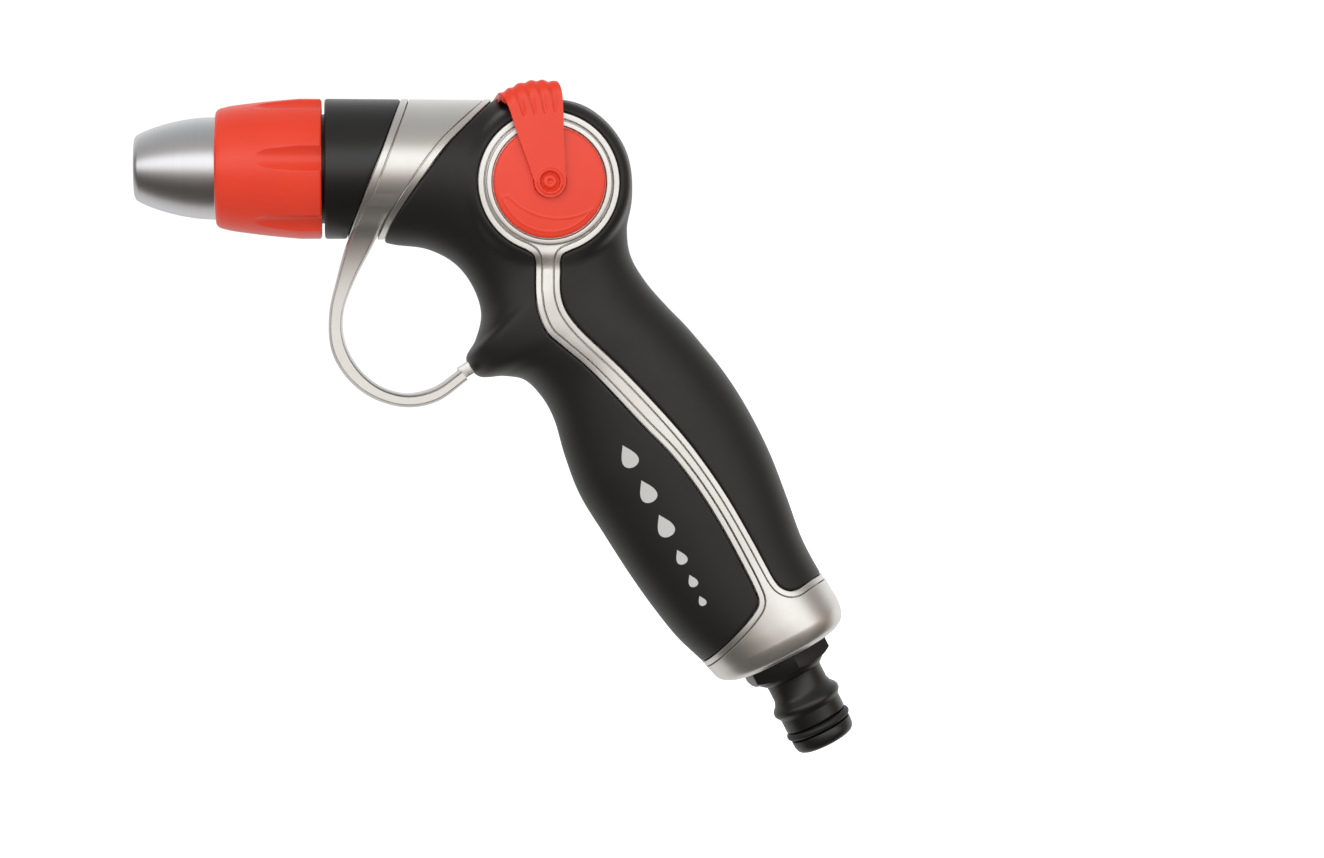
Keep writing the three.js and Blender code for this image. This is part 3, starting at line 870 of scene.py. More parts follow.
@dataclass
class Seam:
    """A border line on the skin's left side, running from one edge of the silhouette to another.

    v and phi are its samples. Its inner side is the one that the silver piece lies on.
    """

    v: np.ndarray
    phi: np.ndarray
    flip: bool

    def shifted(self, distance: float) -> "Seam":
        """Slide the line sideways over the skin.

        Args:
            distance: Millimetres towards the inner side.

        Returns:
            The shifted line.
        """
        v, phi = self.v.copy(), self.phi.copy()
        for _ in range(SLIDE_STEPS if distance else 0):
            place, normal = SKIN.point(v, phi), SKIN.normal(v, phi)
            tangent = np.gradient(place, axis=0)
            for end, near in ((0, 1), (-1, -2)):
                sign = math.copysign(1.0, place[near, 1] - place[end, 1])
                tangent[end] = (0.0, sign if end == 0 else -sign, 0.0)
            aside = np.cross(normal, tangent)
            aside /= np.maximum(np.linalg.norm(aside, axis=1, keepdims=True), 1e-9)
            move = aside * (distance / SLIDE_STEPS) * (-1 if self.flip else 1)
            dv, dphi = SKIN_STEP
            along = (SKIN.point(v + dv, phi) - SKIN.point(v - dv, phi)) / (2 * dv)
            around = (SKIN.point(v, phi + dphi) - SKIN.point(v, phi - dphi)) / (2 * dphi)
            aa = np.sum(along * along, axis=1)
            ab = np.sum(along * around, axis=1)
            bb = np.sum(around * around, axis=1)
            ma, mb = np.sum(move * along, axis=1), np.sum(move * around, axis=1)
            spread = np.maximum(aa * bb - ab * ab, 1e-9)
            v = v + (ma * bb - mb * ab) / spread
            phi = phi + (mb * aa - ma * ab) / spread
            phi[0], phi[-1] = self.phi[0], self.phi[-1]
        return Seam(v, phi, self.flip)

    def places(self, height: float = 0.0) -> np.ndarray:
        """Return the line's points, raised off the skin by height."""
        points = SKIN.point(self.v, self.phi) + height * SKIN.normal(self.v, self.phi)
        points[[0, -1], 1] = 0.0
        return points


@dataclass
class SkinWork:
    """Makes pieces that lie on the gun's skin."""

    spacing: float = 0.8

    def strip(self, name: str, seam: Seam, profile: Sequence[Pair]) -> bpy.types.Object:
        """Sweep a profile along a border line on both sides of the gun.

        Args:
            name: The piece's name.
            seam: The line.
            profile: (distance inwards, height off the skin) pairs.

        Returns:
            The strip, in gun millimetres.
        """
        lines: dict[float, Seam] = {}
        columns = []
        for distance, height in profile:
            if distance not in lines:
                lines[distance] = seam.shifted(distance)
            columns.append(lines[distance].places(height))
        piece = Bench.lay_grid(name, np.stack(columns, axis=1))
        Bench.mirror(piece, 24)
        return piece

    def patch(
        self,
        name: str,
        drop: Callable[[np.ndarray], np.ndarray],
        edges: Sequence[Seam],
        height: float,
        spacing: float,
    ) -> bpy.types.Object:
        """Lay a grid on the skin, take out what an outline covers and trim it to border lines.

        Args:
            name: The piece's name.
            drop: Tells which (x, z) points are taken out.
            edges: The border lines that the cut edge is moved to.
            height: Height of the piece off the skin.
            spacing: Size of the grid's faces.

        Returns:
            The patch on both sides of the gun, in gun millimetres.
        """
        v_fine = np.linspace(0, 1, 900)
        track = SKIN.rib(v_fine)
        run = np.linalg.norm(np.diff(track[:, 0:2], axis=0), axis=1)
        run = np.maximum(run, np.linalg.norm(np.diff(track[:, 2:4], axis=0), axis=1))
        run = np.concatenate([[0], np.cumsum(run)])
        rows = int(run[-1] / spacing) + 2
        v = np.interp(np.linspace(0, run[-1], rows), run, v_fine)
        phi = np.linspace(0, math.pi, int(60 / spacing))
        vv, pp = np.meshgrid(v, phi, indexing="ij")
        places = SKIN.point(vv, pp) + height * SKIN.normal(vv, pp)
        places[:, [0, -1], 1] = 0.0
        piece = Bench.lay_grid(name, places)
        self._take_out(piece, drop)
        self._trim(piece, edges, height, 1.7 * spacing)
        Bench.mirror(piece, 60)
        return piece

    @staticmethod
    def _take_out(piece: bpy.types.Object, drop: Callable[[np.ndarray], np.ndarray]) -> None:
        """Delete the faces whose middles an outline covers.

        Args:
            piece: The grid.
            drop: Tells which (x, z) points are taken out.
        """
        mesh = piece.data
        middles = np.zeros(len(mesh.polygons) * 3)
        mesh.polygons.foreach_get("center", middles)
        gone = drop(middles.reshape(-1, 3)[:, [0, 2]])
        Bench.activate(piece)
        bpy.ops.object.mode_set(mode="EDIT")
        bpy.ops.mesh.select_all(action="DESELECT")
        bpy.ops.object.mode_set(mode="OBJECT")
        mesh.polygons.foreach_set("select", gone)
        bpy.ops.object.mode_set(mode="EDIT")
        bpy.ops.mesh.delete(type="FACE")
        bpy.ops.object.mode_set(mode="OBJECT")

    @staticmethod
    def _trim(
        piece: bpy.types.Object, edges: Sequence[Seam], height: float, reach: float
    ) -> None:
        """Move the vertices of a cut edge onto a border line.

        Args:
            piece: The cut grid.
            edges: The border lines.
            height: Height of the piece off the skin.
            reach: Furthest that a vertex is moved.
        """
        mesh = piece.data
        uses: dict[tuple[int, int], int] = {}
        for polygon in mesh.polygons:
            for key in polygon.edge_keys:
                uses[key] = uses.get(key, 0) + 1
        rim = sorted({i for key, count in uses.items() if count == 1 for i in key})
        dense = []
        for edge in edges:
            points = edge.places(height)
            dense.append(even(points, int(length_of(points) / TRIM_SPACING) + 2))
        borders = np.concatenate(dense)
        corners = np.array([p for points in dense for p in (points[0], points[-1])])
        for i in rim:
            here = np.array(mesh.vertices[i].co)
            on_mid_plane = abs(here[1]) < 1e-6
            pool = corners if on_mid_plane else borders
            away = np.linalg.norm(pool - here, axis=1)
            nearest = int(np.argmin(away))
            if away[nearest] < (CORNER_REACH if on_mid_plane else reach):
                mesh.vertices[i].co = pool[nearest]
        mesh.update()


@dataclass
class Borders:
    """Where silver meets black in side view, in gun millimetres."""

    ring_r: float = 16.6
    ring_span: Pair = (math.radians(250.5), math.radians(-71.0))
    ribbon: float = 1.35
    front: tuple[Pair, ...] = (
        (41.3, -110.9), (44.2, -107.6), (48.1, -102.9), (49.75, -100.2), (49.8, -98.6),
        (48.7, -95.7), (45.6, -89.6), (40.3, -80.0), (34.6, -71.2), (28.8, -63.8), (22.4, -57.2),
        (9.4, -43.6), (3.3, -38.4), (-0.2, -35.3), (-2.2, -31.1), (-3.0, -26.6), (-3.05, -20.5),
        (-3.1, -18.4),
    )
    rear: tuple[Pair, ...] = (
        (2.6, -18.4), (2.6, -20.5), (2.65, -26.0), (3.8, -29.9), (6.8, -34.1), (18.1, -44.9),
        (30.3, -58.0), (36.1, -65.3), (42.0, -73.9), (48.3, -84.7), (51.4, -90.4), (53.4, -94.0),
        (54.9, -95.8), (57.0, -96.8), (59.2, -96.7), (62.1, -95.3),
    )
    front_corner_down: float = 119.9
    rear_corner_down: float = 114.1
    band_front: tuple[Pair, ...] = (
        (-33.7, 21.5), (-38.9, 7.2), (-41.9, -0.6), (-45.0, -8.3), (-47.4, -14.6),
    )
    band_rear: tuple[Pair, ...] = (
        (-13.6, 19.3), (-17.5, 15.3), (-23.5, 9.2), (-30.4, -0.1), (-36.0, -8.6),
    )
    band_rear_top_x: float = -12.2
    band_rear_bottom_x: float = -38.4

    def window_path(self) -> np.ndarray:
        """Return the window's side-view line, from the handle's front up, round and back down."""
        turn = np.linspace(*self.ring_span, 60)
        circle = np.stack([np.cos(turn), np.sin(turn)], axis=1) * self.ring_r
        up = catmull([*self.front, (-3.7, -16.9), tuple(circle[0])], 8)
        down = catmull([tuple(circle[-1]), (3.15, -16.9), *self.rear], 8)
        return np.vstack([up, circle[1:-1], down])

    def window_seam(self) -> Seam:
        """Return the window's border on the skin, from the finger edge to the back edge."""
        path = self.window_path()
        path = even(path, int(length_of(path) / 0.45))
        v, phi = SKIN.locate(path)
        v_front = SKIN.v_where(4, self.front_corner_down, 0.7)
        v_rear = SKIN.v_where(5, self.rear_corner_down, 0.7)
        v, phi = self._run_out(v, phi, v_front, math.pi, at_start=True)
        v, phi = self._run_out(v, phi, v_rear, 0.0, at_start=False)
        return Seam(v, phi, flip=True)

    def band_seam(self) -> Seam:
        """Return the silver band's rear border on the skin, from the top edge to the bottom."""
        path = catmull(self.band_rear, 12)
        path = even(path, int(length_of(path) / 0.5))
        v, phi = SKIN.locate(path)
        v_top = SKIN.v_where(2, self.band_rear_top_x, 0.0, 0.4)
        v_bottom = SKIN.v_where(0, self.band_rear_bottom_x, 0.0, 0.3)
        v, phi = self._run_out(v, phi, v_top, 0.0, at_start=True)
        v, phi = self._run_out(v, phi, v_bottom, math.pi, at_start=False)
        return Seam(v, phi, flip=False)

    @staticmethod
    def _run_out(
        v: np.ndarray, phi: np.ndarray, v_end: float, phi_end: float, at_start: bool
    ) -> tuple[np.ndarray, np.ndarray]:
        """Carry a line on to the silhouette, meeting it square.

        Args:
            v: The line's places along the gun.
            phi: The line's angles.
            v_end: Place where it meets the silhouette.
            phi_end: Angle there.
            at_start: True to add before the first sample.

        Returns:
            The longer line.
        """
        k, near = (0, 1) if at_start else (-1, -2)
        gap = abs(phi_end - phi[k])
        count = max(int(gap / 0.03), 4)
        t = np.linspace(0, 1, count + 1)[1:]
        slope_v = (v[k] - v[near]) / max(abs(phi[k] - phi[near]), 1e-6) * gap
        ease = v[k] * (2 * t**3 - 3 * t**2 + 1) + slope_v * (t**3 - 2 * t**2 + t) + v_end * (
            3 * t**2 - 2 * t**3
        )
        turn = phi[k] + (phi_end - phi[k]) * t
        if at_start:
            return np.concatenate([ease[::-1], v]), np.concatenate([turn[::-1], phi])
        return np.concatenate([v, ease]), np.concatenate([phi, turn])


BORDERS = Borders()


def seam_outline(seam: Seam, beyond: Sequence[Pair]) -> np.ndarray:
    """Close a border line into a side-view outline.

    Args:
        seam: The border line.
        beyond: Corners outside the silhouette that close it.

    Returns:
        The outline's (x, z) corners.
    """
    return np.vstack([seam.places()[:, [0, 2]], np.array(beyond, float)])


def ribbon_top(width: float, rise: float) -> list[Pair]:
    """Return the top of a flat, crisp-edged ribbon as (distance, height) pairs.

    Args:
        width: Width of the ribbon.
        rise: Height of its face.

    Returns:
        The profile from one edge to the other.
    """
    return [
        (0.0, rise - CRISP),
        (CRISP, rise),
        (width / 2, rise + RIBBON_CROWN),
        (width - CRISP, rise),
        (width, rise - CRISP),
    ]


# ---- Sub-assemblies -------------------------------------------------------------------------


@dataclass
class GripAndBody:
    """The black overmoulded grip and the silver body that shows through it."""

    lip: float = 0.75
    seat: float = 0.12
    drop: float = 1.3
    ribbon_rise: float = 0.1
    centre_rise: float = 0.25
    panel_inner_r: float = 13.6
    panel_spacing: float = 0.3
    groove: float = 0.22
    core_depth: float = 1.5
    core_spacing: float = 1.6
    work: SkinWork = field(default_factory=SkinWork)

    def build(self) -> None:
        """Make the grip, the ribbons, the centre panel and the body under them."""
        window = BORDERS.window_seam()
        band = BORDERS.band_seam()
        below = [(80.0, -80.0), (110.0, -110.0), (80.0, -160.0), (20.0, -150.0), (20.0, -125.0)]
        ahead = [(-45.0, -30.0), (-80.0, -30.0), (-80.0, 30.0), (-12.0, 30.0)]
        self._grip(window, band, below, ahead)
        self._silver(window, below)
        self._under_body(band)

    def _round_lip(self, inwards: bool) -> list[Pair]:
        """Return the rounded edge profile of the rubber.

        Args:
            inwards: True if the rubber rolls down towards the seam's inner side.

        Returns:
            (distance, height) pairs from the flat to the bottom of the edge.
        """
        sign = -1.0 if inwards else 1.0
        turn = np.linspace(0, math.pi / 2, 7)
        start = self.lip + self.seat
        curve = [
            (sign * (start - self.lip * math.sin(a)), -self.lip * (1 - math.cos(a))) for a in turn
        ]
        return [(sign * (start + 0.35), 0.0), *curve, (sign * self.seat, -self.drop)]

    def _grip(
        self,
        window: Seam,
        band: Seam,
        below: Sequence[Pair],
        ahead: Sequence[Pair],
    ) -> None:
        """Make the soft black grip.

        Args:
            window: The window's border.
            band: The band's rear border.
            below: Corners that close the window's outline.
            ahead: Corners that close the band's outline.
        """
        wide = window.shifted(-self.lip - self.seat)
        behind = band.shifted(self.lip + self.seat)
        window_outline = seam_outline(wide, below)
        band_outline = seam_outline(behind, ahead)

        def covered(points: np.ndarray) -> np.ndarray:
            """Tell which points the windows take out of the grip."""
            return inside(points, window_outline) | inside(points, band_outline)

        main = self.work.patch("soft_grip", covered, [wide, behind], 0.0, self.work.spacing)
        window_lip = self.work.strip("window_lip", window, self._round_lip(True))
        band_lip = self.work.strip("band_lip", band, self._round_lip(False))
        piece = Bench.join("soft_grip", [main, window_lip, band_lip])
        Bench.finish(piece, OVERMOULDED_TPR, Body.GUN, "soft_grip", ["grip_cover"])

    def _silver(self, window: Seam, below: Sequence[Pair]) -> None:
        """Make the silver ribbon round the window and the centre panel inside it.

        Args:
            window: The window's border.
            below: Corners that close the window's outline.
        """
        wide = BORDERS.ribbon
        top = ribbon_top(wide, self.ribbon_rise)
        profile = [(0.0, -self.drop), *top, (wide, -self.drop)]
        ribbon = self.work.strip("silver_border", window, profile)
        Bench.finish(ribbon, SATIN_SILVER_PAINTED_ABS, Body.GUN, "silver_body")
        panel_start = wide + self.groove
        inner = window.shifted(panel_start + CRISP)
        outline = seam_outline(inner, below)

        def outside(points: np.ndarray) -> np.ndarray:
            """Tell which points lie outside the centre panel."""
            from_axis = np.hypot(points[:, 0], points[:, 1])
            return ~inside(points, outline) | (from_axis < self.panel_inner_r)

        panel = self.work.patch(
            "centre_panel", outside, [inner], self.centre_rise, self.panel_spacing
        )
        edge = self.work.strip(
            "panel_edge",
            window,
            [
                (panel_start, -self.drop),
                (panel_start, self.centre_rise - CRISP),
                (panel_start + CRISP, self.centre_rise),
            ],
        )
        piece = Bench.join("silver_centre", [panel, edge])
        Bench.finish(piece, SATIN_SILVER_PAINTED_ABS, Body.GUN, "silver_body")

    def _under_body(self, band: Seam) -> None:
        """Make the body that the grip is moulded over, which shows at the bottom of grooves.

        Args:
            band: The band's rear border.
        """

        def nothing(points: np.ndarray) -> np.ndarray:
            """Take nothing out."""
            return np.zeros(len(points), bool)

        piece = self.work.patch("gun_core", nothing, [band], -self.core_depth, self.core_spacing)
        Bench.finish(piece, SATIN_SILVER_PAINTED_ABS, Body.GUN, "silver_body", ["gun_body"])


@dataclass
class Nozzle:
    """The twisting nozzle head: turned tip and fluted sleeve."""

    flutes: int = 6
    flute_depth: float = 1.5
    flute_half_width: float = 3.25
    sleeve_rear: float = 53.0
    sleeve_r: float = 16.6
    near_flute_down: float = math.radians(6.3)

    def build(self) -> None:
        """Make the tip and the sleeve."""
        self._tip()
        self._sleeve()

    def _tip(self) -> None:
        """Make the aluminium tip with its rounded nose and its cone down to the orifice."""
        ogive = catmull(
            [(77.9, 12.1), (81.8, 11.9), (86.6, 11.15), (91.4, 9.85), (94.2, 8.8), (95.9, 8.0)], 6
        )
        profile = [
            (56.0, 11.9), (56.0, 12.9), (77.4, 12.9),
            *[tuple(p) for p in ogive],
            (96.5, 7.55), (96.9, 6.9), (96.9, 6.3), (96.2, 5.7), (93.5, 3.2), (91.0, 3.2),
            (88.0, 7.5), (71.0, 7.5), (71.0, 11.9),
        ]
        tip = Bench.turn("turned_tip", profile, 128, closed=True)
        Bench.soften(tip, 0.15, 2)
        Bench.smooth(tip, 30)
        Bench.on_barrel(tip)
        Bench.finish(tip, TURNED_ALUMINIUM, Body.NOZZLE_HEAD, "turned_aluminium", ["nozzle_tip"])

    def _sleeve(self) -> None:
        """Make the red sleeve and cut its pointed flutes."""
        crown = catmull(
            [
                (58.0, self.sleeve_r),
                (61.0, 16.35), (66.0, 15.85), (70.5, 15.3), (74.6, 14.7), (76.6, 14.2),
            ],
            5,
        )
        profile = [
            (self.sleeve_rear, 13.2),
            (self.sleeve_rear, 16.2),
            (self.sleeve_rear + 0.4, self.sleeve_r),
            *[tuple(p) for p in crown],
            (77.3, 13.9), (77.8, 13.3), (77.8, 12.95), (77.0, 12.95), (76.0, 13.2),
        ]
        sleeve = Bench.turn("fluted_sleeve", profile, 144, closed=True)
        cutter_r = (self.flute_half_width**2 + self.flute_depth**2) / (2 * self.flute_depth)
        axis_r = self.sleeve_r - self.flute_depth + cutter_r
        cutters = []
        for i in range(self.flutes):
            cutter = Bench.turn(
                "flute", [(self.sleeve_rear - 1, cutter_r), (66, cutter_r), (74, cutter_r - 1.2)], 64
            )
            angle = math.pi / 2 + self.near_flute_down + i * 2 * math.pi / self.flutes
            place = (axis_r * math.cos(angle), axis_r * math.sin(angle), 0)
            cutter.data.transform(Matrix.Translation(place))
            cutters.append(cutter)
        Bench.combine(sleeve, Bench.join("flutes", cutters), "DIFFERENCE")
        Bench.soften(sleeve, 0.22, 2, 24)
        Bench.smooth(sleeve, 24)
        Bench.on_barrel(sleeve)
        Bench.finish(sleeve, MOULDED_RED_ABS, Body.NOZZLE_HEAD, "red_plastic", ["adjusting_sleeve"])


@dataclass
class BandAndGuard:
    """The black collar, the silver band round the barrel and the guard loop under it."""

    front_x: float = -52.3
    collar_gap: float = 0.18
    border: float = 1.65
    groove: float = 0.28
    rise: float = 0.12
    guard_half: float = 6.4
    flare: float = 1.9
    flare_at: float = -14.0
    flare_most: float = 8.0
    flare_fade: float = 6.4
    sunk: float = -0.4
    emerge: float = 0.5
    rise_from: float = 1.5
    rise_over: float = 9.0
    chamfer: float = 0.85
    chamfer_from: float = -3.0
    chamfer_over: float = 10.0
    chamfer_slant: float = 1.9
    chamfer_soft: float = 0.18
    melt: float = 1.2
    strap_stations: int = 190
    spigot_size: tuple[float, float, float] = (6.4, 7.2, 3.0)
    spigot_lean: float = math.radians(-32)
    spigot_at: tuple[float, float, float] = (-17.6, 0, -43.55)

    def build(self) -> None:
        """Make the collar, the band and the guard."""
        self._collar()
        band = self._band()
        strap = self._strap()
        spigot = self._spigot()
        piece = Bench.join("band_and_guard", [band, strap, spigot])
        Bench.finish(piece, SATIN_SILVER_PAINTED_ABS, Body.GUN, "silver_body", ["finger_guard"])

    @staticmethod
    def _border_x(border: Sequence[Pair], z: np.ndarray) -> np.ndarray:
        """Return a border's x at heights z."""
        line = catmull(border, 12)
        order = np.argsort(line[:, 1])
        return np.interp(z, line[order, 1], line[order, 0])

    def _round_surface(
        self, name: str, columns: Sequence[tuple[np.ndarray, np.ndarray]], psi: np.ndarray
    ) -> bpy.types.Object:
        """Lay a sheet on the barrel from the underside to the top, and mirror it.

        Args:
            name: The piece's name.
            columns: (x, radius) arrays over psi, from front to rear.
            psi: Angles above the horizontal.

        Returns:
            The sheet.
        """
        layers = []
        for x, radius in columns:
            y = -radius * np.cos(psi)
            y[[0, -1]] = 0.0
            layers.append(np.stack([x, y, BARREL_RISE + radius * np.sin(psi)], axis=1))
        piece = Bench.lay_grid(name, np.stack(layers, axis=1))
        Bench.mirror(piece, 24)
        return piece

    def _collar(self) -> None:
        """Make the black collar in front of the band."""
        psi = np.linspace(-math.pi / 2, math.pi / 2, 96)
        z = BARREL_RISE + BARREL_R * np.sin(psi)
        rear = self._border_x(BORDERS.band_front, z) - self.collar_gap
        front = np.full_like(psi, self.front_x)
        profile = [
            (0.0, -1.6), (0.0, -0.7), (0.08, -0.35), (0.3, -0.1), (0.65, 0.0),
        ]
        columns = [(front + d, np.full_like(psi, BARREL_R + h)) for d, h in profile]
        for share in np.linspace(0.12, 0.88, 8):
            columns.append((front + (rear - front) * share, np.full_like(psi, BARREL_R)))
        columns += [(rear - d, np.full_like(psi, BARREL_R + h)) for d, h in reversed(profile)]
        piece = self._round_surface("front_collar_shell", columns, psi)
        ring = Bench.turn(
            "collar_face",
            [
                (50.0, 14.2), (50.0, 15.4), (52.28, 15.4), (52.28, 12.95), (53.6, 12.95),
                (53.6, 12.4), (50.8, 12.4),
            ],
            96,
            closed=True,
        )
        Bench.on_barrel(ring)
        piece = Bench.join("front_collar_shell", [piece, ring])
        Bench.finish(piece, MOULDED_BLACK_ABS, Body.GUN, "black_plastic", ["front_collar"])

    def _band(self) -> bpy.types.Object:
        """Make the band with a raised border along each edge."""
        psi = np.linspace(-math.pi / 2, math.pi / 2, 120)
        z = BARREL_RISE + BARREL_R * np.sin(psi)
        front = self._border_x(BORDERS.band_front, z)
        rear_line = [
            (BORDERS.band_rear_top_x, 21.0),
            *BORDERS.band_rear,
            (BORDERS.band_rear_bottom_x, -13.6),
        ]
        rear = self._border_x(rear_line, z)
        slope_front = np.hypot(1, np.gradient(front, BARREL_R * psi))
        slope_rear = np.hypot(1, np.gradient(rear, BARREL_R * psi))
        edge = [
            (0.0, -1.2),
            *ribbon_top(self.border, self.rise),
            (self.border, -1.1),
            (self.border + self.groove, -1.1),
            (self.border + self.groove, -0.12),
            (self.border + self.groove + 0.12, 0.0),
        ]
        columns = [(front + d * slope_front, np.full_like(psi, BARREL_R + h)) for d, h in edge]
        inner_front = front + edge[-1][0] * slope_front
        inner_rear = rear - edge[-1][0] * slope_rear
        for share in np.linspace(0.1, 0.9, 9):
            columns.append(
                (inner_front + (inner_rear - inner_front) * share, np.full_like(psi, BARREL_R))
            )
        columns += [
            (rear - d * slope_rear, np.full_like(psi, BARREL_R + h)) for d, h in reversed(edge)
        ]
        return self._round_surface("band", columns, psi)

    def _strap(self) -> bpy.types.Object:
        """Make the guard's strap, chamfered along its four edges."""
        outer = catmull(
            [
                (-38.2, 3.0), (-40.1, 0.0), (-42.3, -4.5), (-44.6, -9.0), (-47.1, -14.0),
                (-49.7, -23.0), (-51.4, -31.0), (-50.9, -39.5), (-47.4, -46.0), (-41.5, -50.8),
                (-33.5, -53.1), (-26.0, -51.8), (-18.6, -46.6),
            ],
            10,
        )
        inner = catmull(
            [
                (-31.2, 1.9), (-33.8, -1.9), (-36.4, -6.0), (-38.9, -10.3), (-40.6, -13.8),
                (-45.6, -23.5), (-48.0, -30.5), (-47.8, -37.0), (-44.8, -43.3), (-39.5, -48.0),
                (-33.0, -49.9), (-26.5, -48.5), (-20.4, -44.3),
            ],
            10,
        )
        outer, inner = even(outer, self.strap_stations), even(inner, self.strap_stations)
        rows = []
        for (ox, oz), (ix, iz) in zip(outer, inner):
            middle = np.array([(ox + ix) / 2, (oz + iz) / 2])
            reach = np.array([ox - ix, oz - iz]) / 2
            thick = float(np.hypot(*reach))
            rows.append(self._section(middle, reach / thick, thick))
        piece = Bench.lay_grid("strap", np.array(rows), wrap=True)
        Bench.activate(piece)
        bpy.ops.object.mode_set(mode="EDIT")
        bpy.ops.mesh.select_all(action="DESELECT")
        bpy.ops.mesh.select_non_manifold()
        bpy.ops.mesh.fill_holes(sides=0)
        bpy.ops.mesh.select_all(action="SELECT")
        bpy.ops.mesh.normals_make_consistent(inside=False)
        bpy.ops.object.mode_set(mode="OBJECT")
        Bench.smooth(piece, 30)
        return piece

    def _half_width(self, z: float) -> float:
        """Return the strap's half width at a height, where it first lies on the barrel.

        Args:
            z: Height in millimetres.

        Returns:
            Half its width across the gun.
        """
        share = min(max((self.rise_from - z) / self.rise_over, 0.0), 1.0)
        proud = self.sunk + self.emerge * share
        on_barrel = math.sqrt(max(BARREL_R**2 - (z - BARREL_RISE) ** 2, 0.0)) + proud
        above = min(z - self.flare_at, self.flare_most)
        free = self.guard_half + self.flare * math.exp(above / self.flare_fade)
        return 0.5 * (on_barrel + free + math.hypot(on_barrel - free, self.melt))

    def _section(
        self, middle: np.ndarray, across: np.ndarray, thick: float
    ) -> list[tuple[float, float, float]]:
        """Return one closed section of the strap.

        Args:
            middle: (x, z) of its centre.
            across: Unit (x, z) towards the outer edge.
            thick: Half its thickness.

        Returns:
            Points round the section, with the first repeated at the end.
        """
        below = self.chamfer_from - middle[1]
        growth = min(max(below / self.chamfer_over, 0.05), 1.0)
        cut = min(self.chamfer * growth, 0.45 * thick)
        soft = self.chamfer_soft * growth
        wide = self.chamfer_slant * cut
        corner = [
            (thick, wide),
            (thick - soft * 0.3, wide - soft * 1.5),
            (thick - cut + soft, soft * 1.2),
            (thick - cut - soft * 0.4, 0.0),
            (thick / 2, 0.0),
            (0.0, 0.0),
        ]
        quarter = corner + [(-a, inset) for a, inset in reversed(corner[:-1])]
        loop = [(a, inset, -1) for a, inset in quarter]
        loop += [(-a, inset, 1) for a, inset in quarter]
        loop.append(loop[0])
        points = []
        for a, inset, side in loop:
            x, z = middle + across * a
            points.append((x, side * (self._half_width(z) - inset), z))
        return points

    def _spigot(self) -> bpy.types.Object:
        """Make the stepped end that plugs into the boss."""
        bpy.ops.object.select_all(action="DESELECT")
        bpy.ops.mesh.primitive_cube_add(size=1, location=(0, 0, 0))
        piece = bpy.context.object
        piece.data.transform(Matrix.Diagonal((*self.spigot_size, 1.0)))
        piece.data.transform(Matrix.Rotation(self.spigot_lean, 4, "Y"))
        piece.data.transform(Matrix.Translation(self.spigot_at))
        Bench.soften(piece, 0.3, 2)
        Bench.smooth(piece, 30)
        return piece


